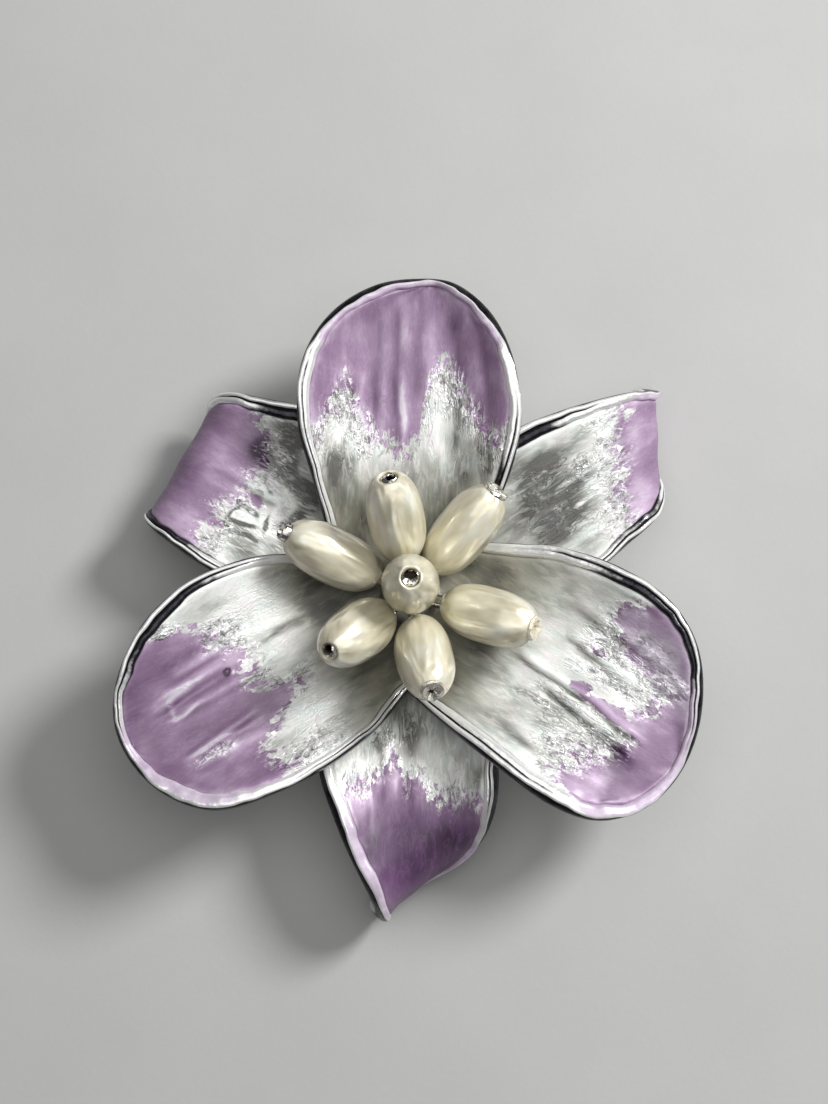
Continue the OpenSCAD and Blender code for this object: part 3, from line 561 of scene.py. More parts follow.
def edge(name, side, part, inset):
    """Point of an edge at part of its length, pulled in by inset."""
    part = np.asarray(part, float)
    at = key_place(name, side, part)
    share = smooth(part / NOTCH_ROUND)[..., None]
    normal = SPLITS[name, side] * (1 - share) + inward(name, at) * share
    normal /= np.linalg.norm(normal, axis=-1, keepdims=True)
    point = curve(KEYS[name], at)
    point[..., :2] += np.asarray(inset)[..., None] * normal
    return point


def rim_value(name, side, part):
    """Outer slope, width, lap and groove of the rim at part of an edge's length."""
    rows = np.array(RIMS[name]["left" if side > 0 else "right"] + [RIMS[name]["tip"]], float)
    value = curve(rows, np.asarray(part) * (len(rows) - 1))
    return np.clip(value, RIM_LEAST, RIM_MOST)


def wobble(name, side, part, size, seed):
    """Unevenness of a hand-finished edge, none at the notch."""
    at = key_place(name, side, part)
    fade = smooth(part / 0.2)
    return size * fade * (grain(at * 1.9, seed, seed) + 0.8 * grain(at * 4.7, seed, seed + 3))


def tray(name, s, t, insets, off):
    """Along, across and height over the hub on a petal's bowl. insets are left and right."""
    left, right = edge(name, 1, t, insets[0]), edge(name, -1, t, insets[1])
    share = ((1 + s) / 2)[..., None]
    spot = left * share + right * (1 - share)
    lift = np.where(s > 0, left[..., 3], right[..., 3])
    height = spot[..., 2] + lift * s * s + flute(name, s, t) + off
    return spot[..., 0], spot[..., 1], height


def quads(first, second):
    """Faces between two lines of vertex numbers."""
    return np.stack([first[:-1], first[1:], second[1:], second[:-1]], -1)


def grid_quads(numbers):
    """Faces over a whole grid of vertex numbers."""
    return np.concatenate([quads(a, b) for a, b in zip(numbers[:-1], numbers[1:])])


def in_scene(name, data):
    """Makes an object of this data in the scene."""
    thing = bpy.data.objects.new(name, data)
    bpy.context.scene.collection.objects.link(thing)
    return thing


class Cast:
    """Collects the points, faces and marks of one mesh, in mm from the heart."""

    def __init__(self, marks):
        self.points, self.faces = [], []
        self.marks = {mark: [] for mark in marks}
        self.count = 0

    def add(self, points, **marks):
        """Adds an array of points and gives their numbers in the same arrangement."""
        shape = points.shape[:-1]
        size = int(np.prod(shape))
        self.points.append(points.reshape(-1, 3))
        for mark, values in self.marks.items():
            value = np.asarray(marks.get(mark, 0.0), float)
            wide = (3,) if mark in VECTOR_MARKS else ()
            values.append(np.broadcast_to(value, shape + wide).reshape((size,) + wide))
        numbers = np.arange(self.count, self.count + size).reshape(shape)
        self.count += size
        return numbers

    def cover(self, faces):
        self.faces.extend(np.asarray(faces).tolist() if isinstance(faces, np.ndarray) else faces)

    def finish(self, name, material, sharp):
        """Makes the object, its seams welded and its sharp edges kept crisp."""
        points = (np.concatenate(self.points) + HEART / MM) * MM
        data = bpy.data.meshes.new(name)
        data.from_pydata(points.tolist(), [], self.faces)
        for mark, values in self.marks.items():
            values = np.concatenate(values)
            kind = "FLOAT_VECTOR" if mark in VECTOR_MARKS else "FLOAT"
            layer = data.attributes.new(mark, kind, "POINT")
            layer.data.foreach_set("vector" if mark in VECTOR_MARKS else "value", values.ravel())
        shape = bmesh.new()
        shape.from_mesh(data)
        bmesh.ops.remove_doubles(shape, verts=shape.verts, dist=WELD * MM)
        bmesh.ops.dissolve_degenerate(shape, edges=shape.edges, dist=WELD * MM)
        bmesh.ops.recalc_face_normals(shape, faces=shape.faces)
        limit = math.radians(sharp)
        for line in shape.edges:
            line.smooth = line.calc_face_angle(0) < limit
        for face in shape.faces:
            face.smooth = True
        shape.to_mesh(data)
        shape.free()
        data.materials.append(material)
        return in_scene(name, data)


def steps_along(count, crowding):
    """Places on a petal's edge from notch to tip, closer together near the tip."""
    return 1 - (1 - np.linspace(0, 1, count + 1)) ** crowding


def steps_across(count):
    """Places across a petal from its right edge (-1) to its left (1), closer together at both."""
    even = np.linspace(-1, 1, count + 1)
    return 0.6 * even + 0.4 * np.sin(even * math.pi / 2)


def ring(name, side, t, row, rim_height):
    """Points and marks of one line of the rim along one edge of a petal."""
    outer, width, lap, groove = np.moveaxis(rim_value(name, side, t), -1, 0)
    inset = row[0] + row[1] * outer + row[2] * (width - outer)
    inset = (inset + wobble(name, side, t, *OUTER_WOBBLE) * row[1]
             + wobble(name, side, t, *INNER_WOBBLE) * row[2])
    sunk = row[9] * groove * smooth(t / NOTCH_ROUND)
    high = row[3] * METAL_WALL + (row[4] - sunk) * (rim_height + wobble(name, side, t, *HEIGHT_WOBBLE))
    point = edge(name, side, t, inset)
    spot = placed(name, point[..., 0], point[..., 1], point[..., 2] + point[..., 3] + high)
    # Dark share: the blackened outer wall, also standing in for dark reflections and shade, and painted shade
    # in the groove
    dark = row[5] + row[6] * np.clip(2 * groove, 0, 1) + row[7] * np.clip(2 * groove - 1, 0, 1)
    return spot, np.clip(dark, 0, 1), row[8] * lap, inset


def casting(layer, settings, material):
    """The metal of three petals: rims, tray floors and undersides in one closed shell."""
    cast = Cast(("lap", "patina"))
    rim_height = settings.rim_height / MM
    t, s = steps_along(settings.rim_rows, METAL_CROWDING), steps_across(settings.floor_columns)
    for name in LAYERS[layer]["petals"]:
        lines, insets = [], []
        for row in RIM_SECTION:
            left, left_dark, left_lap, left_in = ring(name, 1, t, row, rim_height)
            right, right_dark, right_lap, right_in = ring(name, -1, t, row, rim_height)
            lines.append(cast.add(np.concatenate([right, left[-2::-1]]),
                                  patina=np.concatenate([right_dark, left_dark[-2::-1]]),
                                  lap=np.concatenate([right_lap, left_lap[-2::-1]])))
            insets.append((left_in[:, None], right_in[:, None]))
        for a, b in zip(lines[:-1], lines[1:]):
            cast.cover(quads(a, b))
        # Underside and tray floor, and from each a fan to the hub
        for row, inset, dark in ((RIM_SECTION[0], insets[0], UNDERSIDE_DARK),
                                 (RIM_SECTION[-1], insets[-1], FLOOR_DARK)):
            off = row[3] * METAL_WALL
            floor = placed(name, *tray(name, s[None], t[:, None], inset, off))
            cast.cover(grid_quads(cast.add(floor, patina=dark)))
            hub = np.array([0.0, 0.0, LAYERS[layer]["hub"] + off])
            pull = np.linspace(0, 1, METAL_FAN)[:, None, None]
            cast.cover(grid_quads(cast.add(floor[0][None] * (1 - pull) + hub * pull, patina=dark)))
    piece = cast.finish(f"{layer}_petal_metal", material, sharp=50)
    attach(piece, "root")
    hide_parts(f"{layer}_petals")


def folded_foil(name, along, across):
    """Height in mm of the folds pressed into a petal's foil, with a painted highlight on their ridges and
    painted shade in the creases beside them.
    """
    total, light = np.zeros_like(along), np.zeros_like(along)
    for inner_side, outer_side, inner, outer, high, half in FOLDS[name]:
        share = np.clip((along - inner) / (outer - inner), 0, 1)
        centre = inner_side + (outer_side - inner_side) * share + 0.25 * grain(along / 3.1, inner_side, 5)
        window = smooth((along - inner) / FOLD_FADE) * smooth((outer - along) / FOLD_FADE)
        aside = (across - centre) / half
        ridge = np.exp(-aside ** 2)
        total += high * window * ridge
        patches = np.clip(0.7 + 0.6 * grain(along / 1.9, outer_side, 9), 0, 1.2)
        painted_crease_shade = np.exp(-((aside - CREASE_ASIDE * SHADED_SIDE[name]) / CREASE_HALF) ** 2)
        # Painted highlight on the ridge, painted shade in the crease beside it
        light += window * (RIDGE_PAINTED_HIGHLIGHT * high * ridge - CREASE_PAINTED_SHADE * max(high, 0) * patches * painted_crease_shade)
    return total, light


def foil_patches(name, along, across):
    """How much lighter the foil is (its own tone, and painted light and shade), how crumpled, and how far the
    lilac runs in.
    """
    light, rough, lilac = (np.zeros_like(along) for _ in range(3))
    sway = 0.3 * grain(across / 1.3, along / 1.9, 71)
    for side, out, half_width, half_length, lighter, crumpled, run in FOIL[name]:
        aside, away = (across - side + sway) / half_width, (along - out + 1.5 * sway) / half_length
        share = np.exp(-aside ** 2 - away ** 2)
        light += lighter * share
        rough += crumpled * share
        lilac += run * share
    return light, np.clip(rough, 0, 1), lilac


def crumple(along, across, rough, seed):
    """Creases of the foil, in mm, strongest in its crumpled patches."""
    comb = grain(across / 1.2, along / 3.0, seed)
    hammer = 1 - 2 * np.abs(grain(across / 0.9 + 0.3 * comb, along / 1.5, seed + 1))
    return COMB_HEIGHT * comb + HAMMER_HEIGHT * hammer * rough


def enamel(name, seed, settings, material):
    """One petal's enamel: a closed sheet whose top carries the folds and creases."""
    cast = Cast(("petal_place", "lilac_depth", "foil_light", "foil_crumple", "turned_down"))
    columns, gap = settings.enamel_columns, settings.enamel_columns // 12
    level = settings.enamel_level / MM
    t, s = steps_along(settings.enamel_rows, ENAMEL_CROWDING)[:, None], steps_across(columns)[None]
    widths = [rim_value(name, side, t)[..., 1] - ENAMEL_GAP for side in (1, -1)]
    uneven = [width + wobble(name, side, t, *OUTER_WOBBLE) + wobble(name, side, t, *INNER_WOBBLE)
              for side, width in zip((1, -1), widths)]
    # The outermost strips follow the rim's unevenness
    outside = smooth((np.abs(s) - (1 - OUTER_STRIPS)) / OUTER_STRIPS)
    along, across, height = (plain + (ragged - plain) * outside for plain, ragged in zip(
        tray(name, s, t, widths, 0), tray(name, s, t, uneven, 0)))
    ends = tray(name, np.array([[-1.0, 1.0]]), t, widths, 0)
    chord = np.hypot(ends[0][:, :1] - ends[0][:, 1:], ends[1][:, :1] - ends[1][:, 1:])
    border = (1 - np.abs(s)) * chord / 2
    folds, fold_painted_light = folded_foil(name, along, across)
    folds *= smooth(border / FOLDS_FULL)
    light, rough, lilac = foil_patches(name, along, across)
    seam = (0.8 + 0.6 * grain(across / 1.1, along / 1.7, seed + 2)) * np.exp(-(border / SEAM_HALF) ** 2)
    # The folds' painted highlight and shade go into the foil's lightness, with the seam
    light += fold_painted_light * smooth(border / FOLDS_FULL) + seam
    creases = crumple(along, across, rough, seed) * smooth(border / CREASES_FULL)
    top = height + level - BORDER_DIP * np.exp(-border / BORDER_ROUND) + folds + creases
    depth = along - np.interp(across, *np.array(LILAC_FROM[name]).T) + lilac
    past, _, _, radius = past_crest(name, along, across)
    place = np.stack([across, along, np.full_like(along, float(seed))], -1)
    upper = placed(name, along, across, top)
    upper_numbers = cast.add(upper, petal_place=place, lilac_depth=depth, foil_light=light,
                             foil_crumple=rough, turned_down=smooth(0.5 + past / radius))
    lower = placed(name, along, across, height + ENAMEL_UNDER)[:, ::gap]
    lower_numbers = cast.add(lower, petal_place=place[:, ::gap], lilac_depth=depth[:, ::gap])
    cast.cover(grid_quads(upper_numbers))
    cast.cover(grid_quads(lower_numbers))
    # From the notch on in, under the beads, where the foil darkens as painted shade
    centre = np.array([0.0, 0.0, LAYERS[PETALS[name]["layer"]]["hub"]])
    pull = np.linspace(0, FAN_REACH, ENAMEL_FAN)[:, None, None]
    inner = upper[0][None] * (1 - pull) + (centre + np.array([0, 0, level])) * pull
    inner_place = np.stack([across[0][None] * (1 - pull[..., 0]), along[0][None] * (1 - pull[..., 0]),
                            np.full((ENAMEL_FAN, columns + 1), float(seed))], -1)
    fade = 1 - pull[..., 0] / FAN_REACH
    inner_numbers = cast.add(inner, petal_place=inner_place, lilac_depth=ALL_SILVER,
                             foil_light=light[0] * fade + FAN_PAINTED_SHADE * (1 - fade))
    under = lower[0][None] * (1 - pull) + (centre + np.array([0, 0, ENAMEL_UNDER])) * pull
    under_numbers = cast.add(under, petal_place=inner_place[:, ::gap], lilac_depth=ALL_SILVER)
    cast.cover(grid_quads(inner_numbers))
    cast.cover(grid_quads(under_numbers))
    for side in (0, -1):
        cast.cover(quads(upper_numbers[:, side], lower_numbers[:, side]))
        cast.cover(quads(inner_numbers[:, side], under_numbers[:, side]))
    last_top, last_low = inner_numbers[-1].tolist(), under_numbers[-1].tolist()
    cast.cover([last_top + last_low[::-1]])
    piece = cast.finish(f"{name}_enamel", material, sharp=60)
    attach(piece, "root")
    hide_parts(f"enamel_{name}")


def post_frame(bead):
    """Turns and moves a piece drawn along Z, its middle at the origin, onto its post."""
    direction, slope, out = BEADS[bead][:3]
    foot = POST_SPREAD if slope < 90 else 0.0
    return (Matrix.Translation((0, 0, SPRAY_HEIGHT)) @ Matrix.Rotation(math.radians(direction), 4, "Z")
            @ Matrix.Translation((foot, 0, 0)) @ Matrix.Rotation(math.radians(90 - slope), 4, "Y")
            @ Matrix.Translation((0, 0, out)))


def turned(cast, profile, around, matrix, uneven, seed, closed=False):
    """A slightly uneven turned shape. Profile rows are (radius, height), from end to end."""
    angle = np.linspace(0, 2 * math.pi, around, endpoint=False)
    profile = np.array(profile, float)
    height = profile[:, 1:]
    radius = profile[:, :1] * np.ones_like(angle)[None]
    wave = (np.cos(angle + seed) * grain(height / 2.3, seed, seed)
            + 0.6 * np.cos(2 * angle + 2.1 * seed) * grain(height / 1.7, seed + 9, seed))
    radius = radius + uneven * wave * np.minimum(radius / 1.2, 1)
    points = np.stack([radius * np.cos(angle), radius * np.sin(angle),
                       np.broadcast_to(height, radius.shape)], -1)
    spun(cast, points, matrix, closed)


def spun(cast, points, matrix, closed=False, **marks):
    """Covers rings of points round the Z axis, turned and moved by the matrix."""
    turn = np.array(matrix)
    if "bead_place" in cast.marks:
        marks["bead_place"] = points
    numbers = cast.add(points @ turn[:3, :3].T + turn[:3, 3], **marks)
    loop = np.concatenate([numbers, numbers[:, :1]], 1)
    if closed:
        loop = np.concatenate([loop, loop[:1]], 0)
    cast.cover(grid_quads(loop))


def post_end(cast, radius, end, shut, open_side, cream, matrix, seed):
    """The crumpled, part-closed end of one tubular post."""
    angle = np.linspace(0, 2 * math.pi, POST_END_AROUND, endpoint=False)[None]
    part, height, crush, dark = np.array(POST_END).T[..., None]
    pressed = shut + (1 - shut) * smooth((1 - np.cos(angle - math.radians(open_side))) * 0.75 - 0.25)
    radius = radius + 0.45 * shut
    mouth = radius * (0.8 - 0.66 * pressed)
    facets = grain(angle * 1.3, part * 4, seed) + 0.6 * grain(angle * 2.9, part * 6, seed + 5)
    reach = radius - (radius - mouth) * part + 0.07 * crush * grain(angle * 1.9, part * 5 + 2, seed + 2)
    rise = end + height + 0.16 * crush * facets
    points = np.stack([reach * np.cos(angle), reach * np.sin(angle), rise], -1)
    base = np.broadcast_to([0.0, 0.0, end - 1.15], points[:1].shape)
    rings = np.concatenate([base, points, base + [0, 0, 0.1]])
    spun(cast, rings, matrix, patina=np.concatenate([[[0]], dark, [[1]]]), cream=cream)


class Paint:
    """The nodes of one material. Values are numbers, colours or outputs of other nodes."""

    def __init__(self, name):
        self.material = bpy.data.materials.new(name)
        self.material.use_nodes = True
        self.tree = self.material.node_tree
        self.tree.nodes.clear()

    def put(self, kind, inputs=None, out=0, **settings):
        """Adds a node and gives one of its outputs. inputs maps names or numbers to values."""
        made = self.tree.nodes.new("ShaderNode" + kind)
        for key, value in settings.items():
            setattr(made, key, value)
        for key, value in (inputs or {}).items():
            socket = made.inputs[key]
            if isinstance(value, bpy.types.NodeSocket):
                self.tree.links.new(value, socket)
            elif isinstance(value, tuple):
                socket.default_value = (*value, 1)[:len(socket.default_value)]
            else:
                socket.default_value = value
        return made.outputs[out]

    def sums(self, how, a, b=0.0, c=0.0):
        return self.put("Math", {0: a, 1: b, 2: c}, operation=how)

    def plus(self, a, b):
        return self.sums("ADD", a, b)

    def times(self, a, b):
        return self.sums("MULTIPLY", a, b)

    def scaled(self, value, size, added):
        """value times size, plus added."""
        return self.sums("MULTIPLY_ADD", value, size, added)

    def swung(self, value, wave, size):
        """Adds size times a wave, whose middle of a half changes nothing."""
        return self.plus(value, self.scaled(wave, size, -size / 2))

    def away(self, value, level):
        """How far a value is from a level, on either side."""
        return self.sums("ABSOLUTE", self.sums("SUBTRACT", value, level))

    def between(self, value, low, high, to_low=0.0, to_high=1.0, kind="SMOOTHSTEP"):
        """Maps low and high to to_low and to_high, and eases between them."""
        return self.put("MapRange", {"Value": value, "From Min": low, "From Max": high,
                                     "To Min": to_low, "To Max": to_high}, interpolation_type=kind)

    def even(self, value, at_none, at_full):
        """Runs evenly from at_none to at_full as value goes from 0 to 1."""
        return self.between(value, 0, 1, at_none, at_full, "LINEAR")

    def shades(self, value, *stops):
        """Colours along a value. stops are (place, red, green, blue)."""
        colour = self.put("ValToRGB", {0: value})
        ramp = colour.node.color_ramp
        while len(ramp.elements) < len(stops):
            ramp.elements.new(0.5)
        for element, (place, *shade) in zip(ramp.elements, stops):
            element.position = place
            element.color = (*shade, 1)
        return colour

    def mixed(self, share, a, b, how="MIX"):
        return self.put("Mix", {0: share, 6: a, 7: b}, out=2, data_type="RGBA", blend_type=how)

    def noise(self, at, scale, detail, rough=0.55, twist=0.0):
        return self.put("TexNoise", {"Vector": at, "Scale": scale, "Detail": detail,
                                     "Roughness": rough, "Distortion": twist})

    def streaks(self, at, stretch, *rest):
        """Noise drawn out along the petal."""
        return self.noise(self.stretched(at, stretch), 1.0, *rest)

    def stretched(self, at, scale):
        return self.put("Mapping", {"Vector": at, "Scale": scale})

    def mark(self, name, out=2):
        """A mark of the mesh: its number, or with out=1 its vector."""
        return self.put("Attribute", out=out, attribute_name=name)

    def place_in_mm(self):
        return self.stretched(self.put("TexCoord", out=3), (1 / MM, 1 / MM, 1 / MM))

    def bump(self, height, strength, distance, normal=None):
        inputs = {"Height": height, "Strength": strength, "Distance": distance}
        if normal is not None:
            inputs["Normal"] = normal
        return self.put("Bump", inputs)

    def surface(self, shader):
        """Gives the shader to the material, which is then done."""
        made = self.tree.nodes.new("ShaderNodeOutputMaterial")
        self.tree.links.new(shader, made.inputs["Surface"])
        return self.material


def metal_material(settings):
    """Polished rhodium with a blackened outer wall that also stands in for dark reflections and shade,
    painted shade in its grooves, and pale enamel lapped over parts of the rims.
    """
    paint = Paint("polished_rhodium_metal")
    at = paint.place_in_mm()
    cloud = paint.noise(at, 0.9, 4)
    scratch = paint.noise(paint.stretched(at, (2.0, 2.0, 9.0)), 3.0, 2)
    dents = paint.noise(at, 0.8, 2)
    # Dark share: the blackened outer wall, also standing in for dark reflections and shade, and painted shade
    # in the grooves
    blackening_and_shade_share = paint.between(paint.swung(paint.mark("patina"), cloud, 0.9), 0.3, 0.7)
    metal = paint.put("BsdfPrincipled", {
        "Base Color": paint.shades(cloud, (0.35, 0.84, 0.84, 0.83), (0.65, 0.97, 0.97, 0.95)),
        "Metallic": 0.4, "Roughness": paint.between(scratch, 0.3, 0.8, 0.1, 0.24),
        "Normal": paint.bump(scratch, 0.1, 0.0001, paint.bump(dents, 0.3, 0.0003))})
    black = paint.put("BsdfPrincipled", {
        "Base Color": paint.shades(cloud, (0.35, 0.02, 0.019, 0.023), (0.7, 0.07, 0.066, 0.075)),
        "Metallic": 0.9, "Roughness": paint.between(scratch, 0.3, 0.8, 0.24, 0.42),
        "Normal": paint.bump(dents, 0.4, 0.0003)})
    lap = paint.between(paint.swung(paint.mark("lap"), paint.noise(at, 0.6, 2), 0.4), 0.4, 0.55)
    pale = paint.shades(paint.noise(at, 1.3, 3), (0.25, *settings.lilac_light),
                        (0.6, 0.68, 0.58, 0.7), (0.85, 0.84, 0.78, 0.85))
    glaze = paint.put("BsdfPrincipled", {
        "Base Color": pale, "Metallic": 0.15, "Roughness": 0.3, "Coat Weight": 0.7,
        "Coat Roughness": 0.1, "Coat IOR": 1.5, "Normal": paint.bump(dents, 0.3, 0.0002)})
    bright = paint.put("MixShader", {0: lap, 1: metal, 2: glaze})
    return paint.surface(paint.put("MixShader", {0: blackening_and_shade_share, 1: bright, 2: black}))


def enamel_material(settings):
    """Glossy clear enamel over crumpled foil, silver inside and lilac outside, with painted shade under the
    beads and painted glints and crease shade on the foil.
    """
    paint = Paint("lilac_enamel_over_foil")
    dark_lilac = tuple(settings.lilac_dark)
    at = paint.mark("petal_place", 1)
    # Lightness of the foil patches: the foil's own tone, and painted light and shade
    tone_and_light_patch = paint.mark("foil_light")
    crumpled = paint.mark("foil_crumple")
    streak = paint.streaks(at, (1.1, 0.14, 1), 3, 0.55, 0.4)
    silk = paint.streaks(at, (2.2, 0.55, 1), 3, 0.6, 0.8)
    wrinkle = paint.between(paint.away(silk, 0.5), 0.0, 0.09)
    cloud = paint.streaks(at, (0.34, 0.2, 1), 2)
    folded = paint.streaks(at, (1.3, 0.7, 1), 2, 0.5, 1.4)
    ragged = paint.streaks(at, (3.2, 1.3, 1), 4, 0.65, 0.8)
    # Slanting facets of crumpled foil
    swirl = paint.put("TexNoise", {"Vector": at, "Scale": 1.3, "Detail": 2.0}, out=1)
    bent = paint.put("VectorMath", {0: paint.stretched(at, (1.5, 0.85, 1)), 1: swirl}, operation="ADD")
    cell = paint.put("TexVoronoi", {"Vector": bent, "Scale": 1.5}).node.outputs
    lean = paint.put("VectorMath", {0: cell["Color"], 1: (0.5, 0.5, 0.5)}, operation="SUBTRACT")
    reach = paint.put("VectorMath", {0: bent, 1: cell["Position"]}, operation="SUBTRACT")
    slant = paint.put("VectorMath", {0: lean, 1: reach}, out=1, operation="DOT_PRODUCT")
    chips = paint.scaled(paint.put("SeparateXYZ", {0: cell["Color"]}), 3.4, -1.7)
    creases = paint.streaks(at, (1.7, 0.5, 1), 3, 0.6, 1.2)
    # Painted shade in the foil's creases, and painted glints beside them
    painted_crease_shade = paint.between(paint.away(creases, 0.5), 0.035, 0.008)
    painted_glint = paint.between(paint.away(creases, 0.575), 0.055, 0.02)
    # Ragged brush edge between silver and lilac
    edge_way = paint.swung(paint.mark("lilac_depth"), streak, 2.4)
    edge_way = paint.swung(edge_way, folded, 1.8)
    edge_way = paint.swung(edge_way, ragged, 2.4)
    near = paint.times(paint.between(edge_way, -3.0, -0.3), paint.between(edge_way, 2.2, 0.2))
    edge_way = paint.scaled(chips, paint.sums("MAXIMUM", near, crumpled), edge_way)
    lilac = paint.between(edge_way, -0.3, 0.7)
    depth = paint.between(edge_way, 0.0, 9.0)
    rough = paint.between(paint.swung(paint.scaled(near, 0.45, crumpled), folded, 0.8), 0.2, 0.75)
    # Silver foil
    tone = paint.plus(paint.times(cloud, 0.5), paint.times(streak, 0.15))
    tone = paint.plus(tone, paint.scaled(silk, 0.22, 0.065))
    rippled = paint.between(crumpled, 0.02, 0.2, 0.02, 0.1)
    tone = paint.scaled(rippled, paint.sums("SUBTRACT", wrinkle, 0.6), tone)
    patchy = paint.times(paint.scaled(ragged, 0.5, 0.75), tone_and_light_patch)
    tone = paint.scaled(patchy, 0.16, tone)
    tone = paint.scaled(near, 0.05, tone)
    # Painted shade under the beads: the foil darkens towards the heart
    inner = paint.between(paint.put("SeparateXYZ", {0: at}, out=1), 12.8, 6.5)
    tone = paint.scaled(inner, -0.07, tone)
    silver = paint.shades(tone, (0.28, 0.13, 0.13, 0.12), (0.38, 0.36, 0.365, 0.34),
                          (0.5, 0.70, 0.71, 0.68), (0.64, 0.93, 0.94, 0.92))
    hue = paint.shades(paint.streaks(at, (0.8, 0.4, 1), 2),
                       (0.36, 0.93, 1.0, 0.99), (0.5, 1.0, 1.0, 0.96), (0.64, 1.0, 0.94, 0.97))
    silver = paint.mixed(0.6, silver, hue, "MULTIPLY")
    silver = paint.mixed(inner, silver, (0.42, 0.405, 0.34), "MULTIPLY")
    silver = paint.mixed(paint.times(rough, 0.5), silver, (0.66, 0.66, 0.65))
    dent = paint.times(rough, paint.between(chips, -0.5, -1.4))
    silver = paint.mixed(paint.times(dent, 0.33), silver, (0.3, 0.29, 0.3))
    # Painted shade in the creases and painted glints on the silver
    silver = paint.mixed(paint.times(painted_crease_shade, paint.even(rough, 0.1, 0.62)), silver, (0.12, 0.11, 0.12))
    glint_share = paint.times(paint.times(painted_glint, rough), 0.85)
    silver = paint.mixed(glint_share, silver, (0.97, 0.97, 0.96))
    # Lilac glaze
    tint = paint.plus(paint.times(streak, 0.14), paint.times(cloud, 0.56))
    tint = paint.plus(tint, paint.times(silk, 0.1))
    tint = paint.plus(tint, paint.times(ragged, 0.2))
    tint = paint.scaled(patchy, 0.16, tint)
    glaze = paint.shades(tint, (0.1, 0.04, 0.022, 0.04), (0.28, *dark_lilac), (0.5, *settings.lilac_mid),
                         (0.66, *settings.lilac_light), (0.78, 0.8, 0.74, 0.82))
    glaze = paint.mixed(paint.times(depth, 0.42), glaze, dark_lilac)
    thin = paint.times(paint.between(ragged, 0.56, 0.68), paint.between(edge_way, 2.6, 0.3))
    glaze = paint.mixed(paint.times(thin, 0.8), glaze, (0.82, 0.76, 0.83))
    glaze = paint.mixed(paint.scaled(painted_glint, 0.04, glint_share), glaze, (0.85, 0.8, 0.87))
    glaze = paint.mixed(paint.times(painted_crease_shade, paint.scaled(rough, 0.3, 0.04)), glaze, dark_lilac)
    deep = paint.times(lilac, paint.between(tone_and_light_patch, -0.9, -2.0))
    glaze = paint.mixed(deep, glaze, (0.9, 0.72, 0.95), "MULTIPLY")
    # The darkest and the turned-down glaze are less glossy than the rest
    matt = paint.sums("MAXIMUM", deep, paint.times(lilac, paint.mark("turned_down")))
    shine = paint.scaled(matt, -0.1, paint.even(lilac, 0.2, 0.1))
    dull = paint.scaled(rough, -0.12, paint.scaled(matt, 0.16, paint.even(lilac, 0.42, 0.38)))
    relief = paint.bump(wrinkle, paint.times(rippled, paint.even(lilac, 5, 1)), 0.0001)
    relief = paint.bump(streak, paint.even(lilac, 0.1, 0.05), 0.0003, relief)
    relief = paint.bump(slant, paint.even(rough, 0.02, 0.9), 0.0008, relief)
    relief = paint.bump(ragged, paint.even(rough, 0.04, 0.15), 0.00012, relief)
    relief = paint.bump(creases, paint.even(rough, 0.0, 0.6), 0.0004, relief)
    return paint.surface(paint.put("BsdfPrincipled", {
        "Base Color": paint.mixed(lilac, silver, glaze), "Metallic": shine, "Roughness": dull,
        "Normal": relief, "Coat Weight": paint.even(matt, 0.25, 0.06),
        "Coat Roughness": 0.32, "Coat IOR": 1.45}))


def pearl_material(settings):
    """Cream faux pearl: a soft lustre under a clear lacquer, dipped lengthwise."""
    paint = Paint("cream_faux_pearl")
    at = paint.mark("bead_place", 1)
    bead = paint.times(paint.put("ObjectInfo", out=5), 40.0)
    cloud = paint.put("TexNoise", {"Vector": paint.stretched(at, (0.8, 0.8, 0.3)), "W": bead,
                                   "Scale": 1.0, "Detail": 2.0}, noise_dimensions="4D")
    dips = paint.put("TexNoise", {"Vector": paint.stretched(at, (0.75, 0.75, 0.2)), "W": bead,
                                  "Scale": 1.0, "Detail": 1.0, "Distortion": 0.4}, noise_dimensions="4D")
    warm = paint.shades(cloud, (0.32, 0.66, 0.61, 0.45), (0.5, *settings.pearl_cream),
                        (0.68, 0.93, 0.92, 0.8))
    # Painted shade: the bead darkens to olive where it is seen edge-on
    edge_shade = paint.put("LayerWeight", {"Blend": 0.4}, out=1)
    return paint.surface(paint.put("BsdfPrincipled", {
        "Base Color": paint.mixed(paint.times(edge_shade, 0.6), warm, (0.46, 0.43, 0.31)),
        "Metallic": 0.22, "Roughness": 0.3, "Normal": paint.bump(dips, 0.6, 0.0009), "Coat Weight": 0.7,
        "Coat Roughness": 0.12, "Coat IOR": 1.5, "Coat Normal": paint.bump(dips, 0.25, 0.0009),
        "Subsurface Weight": 0.08, "Subsurface Radius": (0.6, 0.5, 0.35), "Subsurface Scale": 0.001}))


def plain_metal_material(name, light, dark, rough):
    """Bright or steel metal with fine rubbing marks and painted shade in the hollows of the posts' ends."""
    paint = Paint(name)
    at = paint.place_in_mm()
    rub = paint.noise(paint.stretched(at, (0.6, 6.0, 6.0)), 2.0, 4)
    colour = paint.shades(paint.noise(at, 1.4, 3), (0.3, *dark), (0.62, *light))
    # Painted shade in the hollow ends of the posts
    colour = paint.mixed(paint.mark("patina"), colour, HOLE_SHADE_BROWN)
    cream = paint.mark("cream")
    return paint.surface(paint.put("BsdfPrincipled", {
        "Base Color": paint.mixed(cream, colour, PEARL_COAT), "Metallic": paint.even(cream, 1.0, 0.2),
        "Roughness": paint.between(rub, 0.25, 0.75, rough * 0.6, rough * 1.5),
        "Normal": paint.bump(rub, 0.2, 0.0001)}))


